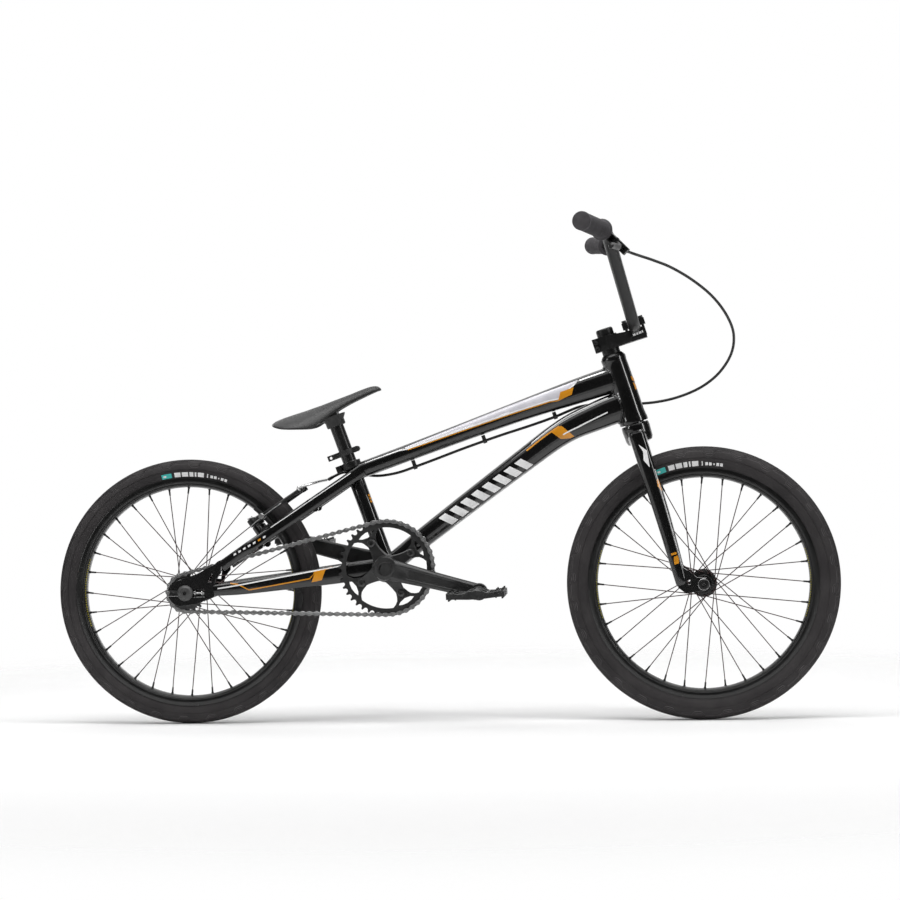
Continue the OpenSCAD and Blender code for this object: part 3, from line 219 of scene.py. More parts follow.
class Shape:
    """Gathers vertices in mm under a matrix, and faces with a material number."""

    def __init__(self, *mats):
        self.v, self.f, self.k, self.mats = [], [], [], mats

    def put(self, part, m, k=0):
        verts, faces = part
        n = len(self.v)
        self.v += [m @ Vector(p) for p in verts]
        self.f += [tuple(n + i for i in f) for f in faces]
        self.k += [k] * len(faces)
        return self

    def spin(self, profile, n, m, k=0):
        """Adds a turned ring; the profile is (radius, z)."""
        return self.put(lathe(profile, n, ring=True), m, k)

    def skin(self, node, body, smooth=SHARP_EDGE):
        """Makes the piece that stands for one CAD node."""
        return self.make(node + "_skin", body, [node], smooth)

    def make(self, name, body, nodes=(), smooth=SHARP_EDGE):
        mesh = bpy.data.meshes.new(name)
        mesh.from_pydata([tuple(p) for p in self.v], [], self.f)
        for m in self.mats:
            mesh.materials.append(m)
        mesh.polygons.foreach_set("material_index", self.k)
        b = bmesh.new()
        b.from_mesh(mesh)
        bmesh.ops.remove_doubles(b, verts=b.verts, dist=1e-7)
        bmesh.ops.dissolve_degenerate(b, edges=b.edges, dist=1e-7)
        bmesh.ops.recalc_face_normals(b, faces=b.faces)
        b.to_mesh(mesh)
        b.free()
        mesh.shade_smooth()
        mesh.set_sharp_from_angle(angle=RAD(smooth))
        return add_object(name, mesh, body, nodes)


def loft(loops, cyclic=False):
    n, m = len(loops[0]), len(loops)
    verts = [p for l in loops for p in l]
    faces = []
    for i in range(m if cyclic else m - 1):
        a, b = i * n, ((i + 1) % m) * n
        faces += [(a + k, a + (k + 1) % n, b + (k + 1) % n, b + k) for k in range(n)]
    if not cyclic:
        faces += [tuple(range(n))[::-1], tuple(range((m - 1) * n, m * n))]
    return verts, faces


def lathe(profile, n, ring=False):
    loops = [[(*polar(r, a), z) for a in turns(n)] for r, z in profile]
    return loft(loops, cyclic=ring)


def cyl(r, z0, z1, n, c=0.4):
    return lathe([(r - c, z0), (r, z0 + c), (r, z1 - c), (r - c, z1)], n)


def tube_ring(ro, ri, z0, z1, n, c):
    return lathe([(ri, z0), (ro - c, z0), (ro, z0 + c), (ro, z1 - c), (ro - c, z1), (ri, z1)], n, ring=True)


def spline(pts, steps):
    """Smooth curve through points of any dimension, steps per span."""
    pts = [tuple(p) for p in pts]
    n = len(pts)
    t = [0]
    for a, b in zip(pts, pts[1:]):
        t.append(t[-1] + max(1e-6, dist(a[:3], b[:3])))
    d = []
    for i in range(n):
        a, b = max(i - 1, 0), min(i + 1, n - 1)
        d.append([(q - p) / (t[b] - t[a]) for p, q in zip(pts[a], pts[b])])
    out = []
    for i in range(n - 1):
        h = t[i + 1] - t[i]
        for s in range(steps):
            u = s / steps
            a, b = 2 * u**3 - 3 * u**2 + 1, u**3 - 2 * u**2 + u
            e, f = -2 * u**3 + 3 * u**2, u**3 - u**2
            out.append(tuple(a * p + b * h * dp + e * q + f * h * dq
                             for p, q, dp, dq in zip(pts[i], pts[i + 1], d[i], d[i + 1])))
    return out + [pts[-1]]


def sweep(path, r, n, squash=None):
    """Round tube along a path; r is a number or one per point."""
    path = [Vector(p[:3]) for p in path]
    rs = r if isinstance(r, (list, tuple)) else [r] * len(path)
    last = len(path) - 1
    run = [(path[min(i + 1, last)] - path[max(i - 1, 0)]).normalized() for i in range(last + 1)]
    up = Vector((0, 0, 1)) if abs(run[0].z) < 0.9 else Vector((1, 0, 0))
    nrm = (up - run[0] * up.dot(run[0])).normalized()
    loops = []
    for i, p in enumerate(path):
        nrm = (nrm - run[i] * nrm.dot(run[i])).normalized()
        side = run[i].cross(nrm)
        a, b = squash[i] if squash else (1, 1)
        loops.append([p + nrm * (a * x) + side * (b * y) for x, y in circle(rs[i], n)])
    return loft(loops)


# how square the sections of the tubes are: 1 is an ellipse, less is squarer
TUBE_E, STAY_E, LEG_E = 0.8, 0.75, 0.9


def outline(w, h, e, n):
    def s(v):
        return copysign(abs(v) ** e, v)
    return [(w / 2 * s(cos(a)), h / 2 * s(sin(a))) for a in turns(n)]


def station(s, e, n):
    """One section of a frame tube from (x, y, z, angle, width, height)."""
    x, y, z, a, w, h = s
    ca, sa = cos(RAD(a)), sin(RAD(a))
    return [Vector((x - q * sa, y + p, z + q * ca)) for p, q in outline(w, h, e, n)]


def offset(poly, d):
    """Polygon moved outwards by d (counter-clockwise outline)."""
    out = []
    n = len(poly)
    for i in range(n):
        a, b, c = Vector(poly[i - 1]), Vector(poly[i]), Vector(poly[(i + 1) % n])
        u, v = (b - a).normalized(), (c - b).normalized()
        nu, nv = Vector((u.y, -u.x)), Vector((v.y, -v.x))
        m = nu + nv
        m = m.normalized() if m.length > 1e-6 else nu
        out.append(tuple(b + m * (d / max(0.5, m.dot(nu)))))
    return out


def plate(outer, holes, z0, z1, c):
    """Flat plate with holes, its edges broken by c."""
    verts, faces, rings = [], [], []
    for poly in [outer] + holes:
        small = offset(poly, -c)
        base, n = len(verts), len(poly)
        for pts, z in ((small, z0), (poly, z0 + c), (poly, z1 - c), (small, z1)):
            verts += [(p[0], p[1], z) for p in pts]
        for l in range(3):
            for k in range(n):
                a, b = base + l * n + k, base + l * n + (k + 1) % n
                faces.append((a, b, b + n, a + n))
        rings.append((base, n))
    for layer in (0, 3):
        loops = [[Vector(verts[b + layer * n + k]) for k in range(n)] for b, n in rings]
        index = [b + layer * n + k for b, n in rings for k in range(n)]
        for tri in geometry.tessellate_polygon(loops):
            faces.append(tuple(index[i] for i in tri))
    return verts, faces


def slab(rows):
    """Closed slab from rows of (outer point, inner point)."""
    m, n = len(rows), len(rows[0])
    verts = [p[0] for r in rows for p in r] + [p[1] for r in rows for p in r]
    faces, k = [], m * n
    for i in range(m - 1):
        for j in range(n - 1):
            a, b = i * n + j, (i + 1) * n + j
            faces += [(a, a + 1, b + 1, b), (k + a, k + b, k + b + 1, k + a + 1)]
    edge = list(range(n)) + [i * n + n - 1 for i in range(1, m)] + [
        (m - 1) * n + j for j in range(n - 2, -1, -1)] + [i * n for i in range(m - 2, 0, -1)]
    for a, b in zip(edge, edge[1:] + edge[:1]):
        faces.append((a, k + a, k + b, b))
    return verts, faces


def circle(r, n, c=(0, 0), flip=False):
    pts = [(c[0] + r * cos(a), c[1] + r * sin(a)) for a in turns(n)]
    return pts[::-1] if flip else pts


def block(x0, x1, y0, y1, z0, z1, c):
    return plate([(x0, y0), (x1, y0), (x1, y1), (x0, y1)], [], z0, z1, c)


def bar(a, b, r, n):
    return sweep([a, b], r, n)


def from_cad(node, mat, body, bevel):
    """Copy of a CAD node's mesh with its edges broken and its own material."""
    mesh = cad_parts[node].data.copy()
    mesh.materials.clear()
    mesh.materials.append(mat)
    b = bmesh.new()
    b.from_mesh(mesh)
    bmesh.ops.remove_doubles(b, verts=b.verts, dist=2e-6)
    for f in b.faces:
        f.material_index = 0
    bmesh.ops.dissolve_limit(b, angle_limit=RAD(2), verts=b.verts, edges=b.edges)
    sharp = [e for e in b.edges if len(e.link_faces) == 2 and e.calc_face_angle(0) > RAD(SHARP_EDGE)]
    bmesh.ops.bevel(b, geom=sharp, offset=bevel / 1000, segments=2, profile=0.6, affect="EDGES",
                    clamp_overlap=True)
    b.to_mesh(mesh)
    b.free()
    mesh.shade_smooth()
    mesh.set_sharp_from_angle(angle=RAD(SHARP_EDGE))
    add_object(node + "_skin", mesh, body, [node])


# ------------------------------------------------------------ frame
SHELL_R = 21
# tube stations are [x, y, z, angle, width, height]
TOP = [[292, 0, 450.6, 19.6, 30, 30], [300, 0, 453.5, 19.6, 30, 30], [420, 0, 496.2, 19.6, 34, 31],
       [600, 0, 560.3, 19.4, 38, 37], [720, 0, 600, 17.5, 40, 46], [800, 0, 625, 17, 42, 50]]
DOWN = [[369.8, 0, 287.1, 36.7, 46, 36], [438.7, 0, 341.5, 36.7, 44, 37], [623, 0, 479, 36.7, 46, 43],
        [692, 0, 527, 32, 46, 47], [760, 0, 557, 20, 44, 54], [800, 0, 571.5, 20, 44, 56]]


def row_at(rows, column, value):
    """Row between two rows of a table, where one column has the value; beyond its ends, the end row."""
    for a, b in zip(rows, rows[1:]):
        if min(a[column], b[column]) <= value <= max(a[column], b[column]):
            f = (value - a[column]) / (b[column] - a[column])
            return [p + (q - p) * f for p, q in zip(a, b)]
    return min(rows[0], rows[-1], key=lambda row: abs(row[column] - value))


def bead(fine, r):
    """Rippled ring of weld metal along a closed path."""
    m = len(fine)
    loops, total, a = [], 0, None
    for i in range(m):
        p, q, o = fine[i], fine[(i + 1) % m], fine[i - 1]
        total += (p - o).length
        t = (q - o).normalized()
        a = (a - t * a.dot(t)).normalized() if a else t.orthogonal().normalized()
        c = t.cross(a)
        ripple = r * (1 + 0.16 * sin(total * 2 * pi / 4.2))
        loops.append([p + a * x + c * y for x, y in circle(ripple, 8)])
    return loft(loops, cyclic=True)


def weld(stations, inside, name, r=1.9):
    """Ripple of weld metal where a tube's skin enters another tube."""
    n, path = 72, []
    loops = [station(p, TUBE_E, n) for p in spline(stations, 30)]
    for k in range(n):
        for a, b in zip(loops, loops[1:]):
            ia, ib = inside(a[k]), inside(b[k])
            if ia * ib <= 0 and ia != ib:
                path.append(a[k].lerp(b[k], ia / (ia - ib)))
                break
    fine = []
    for a, b in zip(path, path[1:] + path[:1]):
        fine += [a, a.lerp(b, 0.5)]
    Shape(PAINT).put(bead(fine, r), PLACE).make(name, "frame")


def in_head(p):
    """Distance from the head tube's skin; the tube narrows upwards."""
    v = STEER.inverted() @ (PLACE @ p)
    r = 26.5 + (22.3 - 26.5) * min(1, max(0, v.z / 126))
    return hypot(v.x, v.y) - r


def in_bb(p):
    return hypot(p.x - BB_X, p.z - BB_Z) - SHELL_R


for node, stations in (("top_tube", TOP), ("down_tube", DOWN)):
    skin = loft([station(p, TUBE_E, 48) for p in spline(stations, 10)])
    Shape(PAINT).put(skin, PLACE).skin(node, "frame")
weld(TOP, in_head, "weld_top_head")
weld(DOWN, in_head, "weld_down_head", 2.2)
weld(DOWN, in_bb, "weld_down_shell", 2)

HEAD_PROFILE = [(19.5, 0.2), (25.2, 0), (26.3, 0.6), (26.6, 2), (26.6, 7.5), (26.1, 9), (24.6, 20),
                (24.2, 60), (23, 108), (22.6, 117), (22.9, 118.5), (23.1, 120), (23.1, 124.5),
                (22.6, 125.8), (18.6, 125.9), (18.6, 110), (19.5, 20)]
Shape(PAINT).spin(HEAD_PROFILE, 96, STEER).skin("head_tube", "frame")
SEAT_PROFILE = [(12.8, 0), (14.3, 0), (14.3, 204), (13.9, 204.7), (12.8, 204.7)]
Shape(PAINT).spin(SEAT_PROFILE, 64, seat_at(BB_Z)).skin("seat_tube", "frame")
weld([[BB_X + 3, 0, BB_Z - 3, 109.6, 28.6, 28.6], [BB_X - 12, 0, BB_Z + 35, 109.6, 28.6, 28.6]], in_bb,
     "weld_seat_shell", 1.7)
shell = tube_ring(SHELL_R, 17.5, -36.5, 36.5, 64, 0.8)
Shape(PAINT).put(shell, BB).skin("bb_shell", "frame")

# stays and dropouts
DROP_T, REAR_GAP, FRONT_GAP = 6, 110, 100
STAY_A, STUD_Y = 33.8, 41
STUD = Vector((139.8, 0, 342.7))
CHAIN_STAY = [[52, 58, 246, 7, 9, 20], [100, 57, 250.5, 7, 14, 25], [180, 45.5, 259.8, 7, 15, 29],
              [262, 33, 270, 7, 15, 33], [352, 28, 281, 6, 16, 34]]
SEAT_STAY = [[66.2, 58, 289.8, STAY_A, 9, 19], [90, 57.2, 305.8, STAY_A, 10, 19.6],
             [118, 56.3, 324.5, STAY_A, 11, 20.5], [145, 45.5, 342.6, STAY_A, 13, 21.2],
             [225, 29, 396, STAY_A, 13, 23], [322, 18.5, 460.6, STAY_A, 11, 23]]


def arm_frame(side):
    """Frame of a brake arm: z along its stud, x up the stay."""
    return PLACE @ move(STUD.x, side * STUD_Y, STUD.z) @ rot("Y", -STAY_A)


def drop_frame(base, gap, side, z):
    """Frame of a dropout plate, whose depth runs away from the viewer."""
    return base @ move(0, gap / 2 + DROP_T if side > 0 else -gap / 2, z) @ rot("X", 90)


s = Shape(PAINT)
q = Shape(PAINT)
for side in (-1, 1):
    for shape, stay, e in ((s, CHAIN_STAY, STAY_E), (q, SEAT_STAY, TUBE_E)):
        stations = [(x, side * y, *rest) for x, y, *rest in spline(stay, 8)]
        shape.put(loft([station(p, e, 32) for p in stations]), PLACE)
    for x, y, z in ((236, 26.7, 391.5), (137, 48.7, 325.5)):
        q.put(cyl(5.5, -4.5, 4.5, 32, 0.8), PLACE @ move(x, side * y, z) @ rot("X", 90))
    q.put(lathe([(7, 0), (7, 20), (6.2, 23), (4, 23), (4, 40.5), (3.4, 41)], 32), arm_frame(side))
    outer = arc(24, range(98, 267, 8), -8)
    slot = [(-31.5, 5), (-4, 5)] + arc(5.1, range(96, -97, -16)) + [(-4, -5), (-31.5, -5)]
    ring = [p for p in outer if p[1] > 5.5] + slot + [p for p in outer if p[1] < -5.5]
    ring += [(20, -20.5), (44, -10.5), (52, -8), (57, 0), (56, 8), (53.5, 14), (56.5, 25), (66, 36),
             (66, 59.5), (60, 57), (52, 50), (20, 34)]
    window = [(13, -7), (13, 7), (35, 7), (35, -7)]
    gusset = [(41, 20), (50, 36), (48, 20)]
    s.put(plate(ring, [window, gusset], 0, DROP_T, 0.6), drop_frame(PLACE, REAR_GAP, side, REAR_R))
s.skin("chain_stays", "frame")
q.skin("seat_stays", "frame")

# tensioner bolts in the dropout windows
s = Shape(SILVER)
for side in (-1, 1):
    m = PLACE @ move(0, side * (REAR_GAP + DROP_T) / 2, REAR_R) @ rot("Y", 90)
    s.put(cyl(1.8, 13.2, 34.8, 16), m).put(cyl(2.9, 13.1, 16.6, 6), m).put(cyl(2.9, 31.3, 34.8, 6), m)
    for z0 in (16.8, 29.4):
        s.put(cyl(4.6, z0, z0 + 1.7, 32, 0.4), m)
    for i in range(9):
        z = 17.6 + 1.4 * i
        s.put(lathe([(1.8, z), (2.15, z + 0.5), (1.8, z + 1)], 16), m)
s.make("tensioner_bolts", "frame", ["chain_tensioners"])

# seat clamp, post and bracket
from_cad("seat_clamp", ANOD, "frame", 0.7)
from_cad("reflector_bracket", PLASTIC, "frame", 0.5)
s = Shape(BAR)
low, high = 63 / sin(SEAT_A), 155.6 / sin(SEAT_A)
s.spin([(10.5, low), (12.7, low), (12.7, high), (10.5, high)], 48, seat_at(400))
s.skin("seat_post", "frame")
s = Shape(PLASTIC)
base = PLACE @ move(250, 0, 556) @ rot("Y", -19.3)
s.put(block(-28, 28, -20, 20, -6.5, 6.5, 3), base)
s.spin([(12.75, -8.5), (16.6, -8.5), (17.7, -6.5), (17.7, 2), (22, 8), (23, 11), (12.75, 11)], 48,
       seat_at(549))
for side in (-1, 1):
    s.put(bar((-4, side * 23.5, -3.5), (-4, side * 17, -3.5), 4.6, 24), base)
s.skin("saddle_base", "frame")

# axle, bolts and bearings of the frame
s = Shape(DARK_STEEL)
s.put(cyl(5, -61, 61, 32), REAR)
for z0 in (50, -55):
    s.put(tube_ring(9, 5, z0, z0 + 5, 48, 0.5), REAR)
s.skin("rear_axle", "frame")
s = Shape(BOLT, RUBBER)
for side in (0, 180):
    m = REAR @ rot("Y", side)
    s.put(lathe([(14, 61.1), (14.5, 61.6), (14.5, 63.2), (14.2, 64.3), (13.5, 66), (11.8, 67.6),
                 (10.6, 68.3), (10.2, 68.9), (8, 69.6), (4.4, 69.95), (3.6, 69.9), (3.5, 66),
                 (0.2, 65.8)], 64), m)
    s.put(cyl(3.4, 65.9, 67.2, 32), m, 1)
s.skin("rear_axle_bolts", "frame")
for node in ("bottom_bearings", "headset_bearings"):
    from_cad(node, DARK_STEEL, "frame", 0.2)

# ------------------------------------------------------------ chain and sprockets
PITCH, RING_T, COG_T, LINKS, LINE = 12.7, 42, 17, 88, 45
SPROCKET_T, ROLLER_R = 3, 3.95
RING_R = PITCH / 2 / sin(pi / RING_T)
COG_R = PITCH / 2 / sin(pi / COG_T)
DIST = hypot(BB_X, BB_Z - REAR_R)
TILT = atan2(BB_Z - REAR_R, BB_X)
WRAP = asin((RING_R - COG_R) / DIST)
RUN = DIST * cos(WRAP)
U_RING = (pi + 2 * WRAP) * RING_T / (2 * pi)
U_TOP = U_RING + RUN / PITCH
U_COG = U_TOP + (pi - 2 * WRAP) * COG_T / (2 * pi)
RING_START, COG_START = TILT - pi / 2 - WRAP, TILT + pi / 2 + WRAP


def chain_point(u):
    """Where pin number u sits: round the chainring, along the top, round the cog and back."""
    u %= LINKS
    b = Vector((BB_X, BB_Z - REAR_R))
    if u < U_RING:
        return b + Vector(polar(RING_R, RING_START + u * 2 * pi / RING_T))
    if u < U_TOP:
        return (b + Vector(polar(RING_R, COG_START))).lerp(Vector(polar(COG_R, COG_START)),
                                                          (u - U_RING) / (U_TOP - U_RING))
    if u < U_COG:
        return Vector(polar(COG_R, COG_START + (u - U_TOP) * 2 * pi / COG_T))
    return Vector(polar(COG_R, RING_START)).lerp(b + Vector(polar(RING_R, RING_START)),
                                                 (u - U_COG) / (LINKS - U_COG))


def link_outline(length, r, waist):
    """Figure-of-eight side plate of one link."""
    return (arc(r, range(-120, 121, 24), length / 2) + [(0, waist)]
            + arc(r, range(60, 301, 24), -length / 2) + [(0, -waist)])


s = Shape(CHAIN_M, DARK_STEEL)
for k in range(LINKS):
    a, b = chain_point(k), chain_point(k + 1)
    mid, d = (a + b) / 2, b - a
    m = REAR @ move(mid.x, mid.y, LINE) @ Matrix.Rotation(atan2(d.y, d.x), 4, "Z")
    shape = link_outline(d.length, 4.3, 2)
    for z0, z1 in (((2.95, 3.9), (-3.9, -2.95)) if k % 2 else ((1.95, 2.85), (-2.85, -1.95))):
        s.put(plate(shape, [], z0, z1, 0.2), m)
    m = REAR @ move(a.x, a.y, LINE)
    s.put(cyl(3.6, -1.9, 1.9, 12, 0.2), m, 1)
    s.put(cyl(1.75, -4.5, 4.5, 10, 0.3), m, 0)
s.make("chain_links", "frame", ["chain"])


def toothed(r, teeth, start, top):
    """Outline of a sprocket: a round seat for each roller, then a pointed tooth."""
    pts = []
    step = 2 * pi / teeth
    for k in range(teeth):
        a = start + k * step
        c = Vector(polar(r, a))
        u, v = Vector(polar(1, a)), Vector(polar(1, a + pi / 2))
        for b in (-64, -36, 0, 36, 64):
            pts.append(tuple(c - u * (ROLLER_R * cos(RAD(b))) + v * (ROLLER_R * sin(RAD(b)))))
        for height, share in ((0.55, 0.36), (1, 0.44), (1, 0.56), (0.55, 0.64)):
            pts.append(polar(r + top * height, a + step * share))
    return pts


def rotated(pts, a):
    return [(cos(a) * x - sin(a) * y, sin(a) * x + cos(a) * y) for x, y in pts]


RING_BOLT_R, CRANK_LEN = 52, 175
s = Shape(RING_M)
lens = [(69.7, 16.1), (72.6, 9), (73.8, 0), (72.6, -9), (69.7, -16.1), (66.2, -10.5), (64, 0), (66.2, 10.5)]
tab = [(68.4, 27), (66, 20.5), (61.5, 14.5), (56, 11.5), (50, 9.5), (44, 7)]
tab = [(x, -y) for x, y in tab] + tab[::-1]
inner, windows = [], []
for k in range(4):
    tilt = 45 - CRANK_A + 90 * k
    windows.append(rotated(circle(4.05, 16, (RING_BOLT_R, 0), True), RAD(tilt)))
    windows.append(rotated(lens, RAD(tilt)))
    inner += rotated(tab, RAD(tilt)) + arc(73.5, [tilt + a for a in range(26, 65, 4)])
low, high = LINE - SPROCKET_T / 2, LINE + SPROCKET_T / 2
s.put(plate(toothed(RING_R, RING_T, RING_START, 2.6), [inner[::-1]] + windows, low, high, 0.35), BB)
s.skin("chainring", "crank")

s = Shape(DARK_STEEL)
phase = COG_START + (ceil(U_TOP) - U_TOP) * 2 * pi / COG_T
s.put(plate(toothed(COG_R, COG_T, phase, 2.6), [circle(13.06, 48, flip=True)], low, high, 0.3), REAR)
s.put(tube_ring(20, 13.06, LINE - 6, LINE + 6, 64, 0.6), REAR)
for k in range(4):
    s.put(block(17.2, 20.2, -2, 2, LINE + 5.2, LINE + 6.2, 0.2), REAR @ rot("Z", 45 + 90 * k))
s.skin("rear_cog", "driver")

# ------------------------------------------------------------ cranks and pedals
# sections along a crank arm: [x, width, inner face, outer face, share of the width that is channel]
ARM = [[-8, 34, 60.5, 76.5, 0.3], [0, 37.5, 60.2, 77.2, 0.34], [22, 37, 60.8, 77.2, 0.4],
       [55, 34, 61.8, 77.4, 0.42], [90, 31, 62.8, 77.6, 0.42], [130, 29, 64.2, 78.4, 0.4],
       [160, 28, 65, 79.4, 0.36], [172, 27.5, 65.3, 79.6, 0.3]]


def arm_section(p, groove):
    """Section of a crank arm: chamfered edges and a shallow channel between two ridges."""
    x, w, z0, z1, f = p
    h, g = w / 2, w / 2 * f * 1.35
    pts = [(-h, z0 + 3), (-h + 3, z0), (h - 3, z0), (h, z0 + 3), (h, z1 - 6), (h - 1.2, z1 - 4.4),
           (g + 2.2, z1 - 0.3), (g + 1.2, z1), (g - 0.2, z1 - 0.2), (g - 1.6, z1 - groove),
           (-g + 1.6, z1 - groove), (-g + 0.2, z1 - 0.2), (-g - 1.2, z1), (-g - 2.2, z1 - 0.3),
           (-h + 1.2, z1 - 4.4), (-h, z1 - 6)]
    return [(x, a, b) for a, b in pts]


def crank_arm(s, m):
    pts = spline(ARM, 6)
    loops = [arm_section(p, 1.3 * min(1, max(0.05, (p[0] - 18) / 18)) * min(1, max(0.05, (158 - p[0]) / 16)))
             for p in pts]
    s.put(loft(loops), m)
    s.spin([(8.5, 60.5), (20.5, 60.5), (21.5, 61.5), (21.5, 74), (20.4, 76.2), (14.6, 77.8), (13.4, 78.2),
            (12.6, 78.1), (12.2, 77.2), (10.4, 76.8), (10, 76.2), (10, 70), (8.5, 69.5)], 64, m)
    s.spin([(7.05, 64.2), (14.6, 64.2), (15.4, 65), (15.4, 78.4), (14.2, 79.8), (7.05, 79.9)], 48,
           m @ move(CRANK_LEN, 0, 0))


s = Shape(CRANK_M, PLASTIC)
crank_arm(s, CRANK)
s.spin([(8.5, -59.4), (12, -59.4), (12, 60.5), (8.5, 60.5)], 48, CRANK, 1)
s.spin([(12, 40.1), (17.5, 40.1), (19, 41.2), (19, 46), (24, 47.6), (26, 50), (25.5, 54), (22, 60.6),
        (12, 60.6)], 64, CRANK)
for k in range(4):
    m = CRANK @ rot("Z", 45 + 90 * k)
    z0, loops = 46.52, []
    for x, h, z1 in ((14, 16, 60), (20, 14.2, 58.5), (28, 11.6, 56.8), (38, 9.4, 55), (46, 8.4, 53.2),
                     (50, 8.1, 52.7), (55, 7.2, 52.6), (58, 5.2, 52.4), (60, 2.4, 52)):
        loops.append([(x, -h, z0), (x, h, z0), (x, h, z1 - 1.4), (x, h - 1.6, z1), (x, -h + 1.6, z1),
                      (x, -h, z1 - 1.4)])
    s.put(loft(loops), m)
s.make("crank_right_skin", "crank", ["crank_arm_right"])

s = Shape(CRANK_M)
left = CRANK @ rot("X", 180) @ rot("Z", 180)
crank_arm(s, left)
s.spin([(12.1, 40.1), (16, 40.1), (17, 41), (18.5, 60.6), (12.1, 60.6)], 64, left)
s.make("crank_left_skin", "crank", ["crank_arm_left"])

s = Shape(DARK_STEEL)
for k in range(4):
    m = CRANK @ rot("Z", 45 + 90 * k) @ move(RING_BOLT_R, 0, 0)
    s.spin([(3, 52.72), (6.2, 52.72), (6.5, 53), (6.4, 54.6), (5.6, 55.2), (3.1, 55.2), (3, 53.4)], 32, m)
    s.put(tube_ring(6.5, 3, 41.5, 43.5, 32, 0.3), m)
    s.put(tube_ring(4, 3, 43, 53.5, 24, 0.1), m)
s.skin("chainring_bolts", "crank")

spindles = Shape(DARK_STEEL)
for side, name in ((1, "pedal_right"), (-1, "pedal_left")):
    on = (CRANK if side > 0 else left) @ move(CRANK_LEN, 0, 0)
    spindles.put(lathe([(3.6, 64.2), (6.4, 64.2), (7, 64.8), (7, 80.2), (9, 80.3), (9, 83.6), (6, 83.8),
                        (6, 176), (5, 176.9), (0.2, 177)], 32), on)
    spindles.spin([(6.9, 80.2), (9.2, 80.2), (9.2, 83.6), (6.9, 83.6)], 6, on)
    s = Shape(PEDAL_M, DARK_STEEL)
    m = on @ rot("Z", 3 + CRANK_A * side)
    s.put(lathe([(6.2, 88), (9.2, 88), (11.4, 88.8), (11.4, 92), (9.6, 94.5), (8.5, 98), (8.3, 176),
                 (8.5, 181), (7.6, 183), (0.2, 183)], 40), m)
    rib = [(12, -7.6), (38, -5.8), (50, -5.2), (51.8, -2.5), (51.8, 3), (50, 5.4), (38, 5.2), (30, 3.4),
           (20, 3.6), (12, 7.4)]
    for z0, z1 in ((88.5, 96), (131, 137), (175, 182.8)):
        s.put(plate([(-x, y) for x, y in rib[::-1]] + rib, [], z0, z1, 0.8), m)
    for x in (-1, 1):
        s.put(block(x * 47.5 - 4.3, x * 47.5 + 4.3, -5.4, 5.4, 88.6, 182.6, 1.2), m)
        s.put(block(x * 22 - 2.2, x * 22 + 2.2, -4, 3.6, 92, 180, 0.8), m)
        for z in (92, 111, 130, 149, 168, 179):
            s.put(bar((x * 47.5, -8.8, z), (x * 47.5, 8.8, z), 1.5, 10), m, 1)
        for z in (96, 134, 172):
            s.put(bar((x * 36, -7.6, z), (x * 36, 7.6, z), 1.4, 10), m, 1)
        s.put(block(x * 52.1 - 0.6, x * 52.1 + 0.6, -3, 3, 118, 153, 0.3), m, 1)
    s.skin(name, name)
spindles.skin("pedal_spindles", "crank")


# ------------------------------------------------------------ wheels
TREAD_WAVES, WAVE_STEPS, WAVE_DIP = 28, 20, 22
BEAD_R = 203.3
SPOKE_STEP, SPOKE_END_R = 22.5, 190.9


def section(outer):
    """Radius of a tyre's section and of its centre line."""
    sec = (outer - BEAD_R) / 2
    return sec, outer - sec


def on_tyre(mid, r, th, ph):
    """Point at wheel angle th and section angle ph, r from the centre line at radius mid."""
    return (*polar(mid + r * cos(ph), th), r * sin(ph))


def dip(u):
    """How far the tread lines dip down the shoulder, 0..1, at a fraction u of one wave."""
    if u < 0.5:
        return 0.0
    v = min(1, (u - 0.5) / 0.14, (1 - u) / 0.14)
    return v * v * (3 - 2 * v)


def groove(a, w, d):
    """Rows (section angle, depth in mm, share of the wave, material) of one groove; material 1 on the groove
    floor is a painted highlight, a lighter grey standing in for the groove edges catching the light.
    """
    edge, foot = 2.3, 1.7
    return [(a - edge, 0, w, 0), (a - foot, d, w, 1), (a + foot, d, w, 0), (a + edge, 0, w, 0)]


def tyre(node, m, outer, body):
    sec, mid = section(outer)
    rows = [(0, 0, 0, 0)] + groove(5, 0, 0.9) + [(13, 0, 0, 0)] + groove(19, 0.25, 0.8) + [(26, 0, 0.4, 0)]
    for k, a in enumerate((34, 42, 50)):
        rows += groove(a, 0.9 + 0.05 * k, 0.7)
    rows += [(57, 0, 1, 0), (60, 0, 0.95, 0), (80, 0.1, 0.15, 0), (84.5, 0.2, 0, 0), (86, 1.1, 0, 0),
             (89, 1.1, 0, 0), (90.5, 0.7, 0, 0)] + [(a, 0.7, 0, 0) for a in range(95, 134, 6)]
    rows += [(133, 0.7, 0, 0), (134, 0.2, 0, 0), (136, 0.2, 0, 0), (137.2, 0.6, 0, 0), (139.5, 0, 0, 0)]
    rows = [(-a, d, w, 0) for a, d, w, k in rows[:0:-1]] + rows
    n = len(rows)
    # rows with material 1 get the painted highlight grey of the tread lines
    line = {i for i, r in enumerate(rows) if r[3]} | {n - 2 - i for i, r in enumerate(rows) if r[3]}
    steps = TREAD_WAVES * WAVE_STEPS
    s = Shape(TYRE, TREAD_HIGHLIGHT)
    verts, faces, kinds = [], [], []
    for i in range(steps):
        th = 2 * pi * i / steps
        for a, d, w, k in rows:
            u = (i / WAVE_STEPS + (0.5 if a < 0 else 0)) % 1
            ph = RAD(a + copysign(WAVE_DIP * w * dip(u), a))
            depth = d + (0.7 if 8 < abs(a) < 16 and u > 0.86 else 0)
            verts.append(on_tyre(mid, sec - 0.05 - depth, th, ph))
    for i in range(steps):
        j = (i + 1) % steps
        for k in range(n):
            l = (k + 1) % n
            faces.append((i * n + k, j * n + k, j * n + l, i * n + l))
            kinds.append(1 if k in line else 0)
    s.put((verts, faces), m)
    s.k = kinds
    s.skin(node, body, smooth=30)


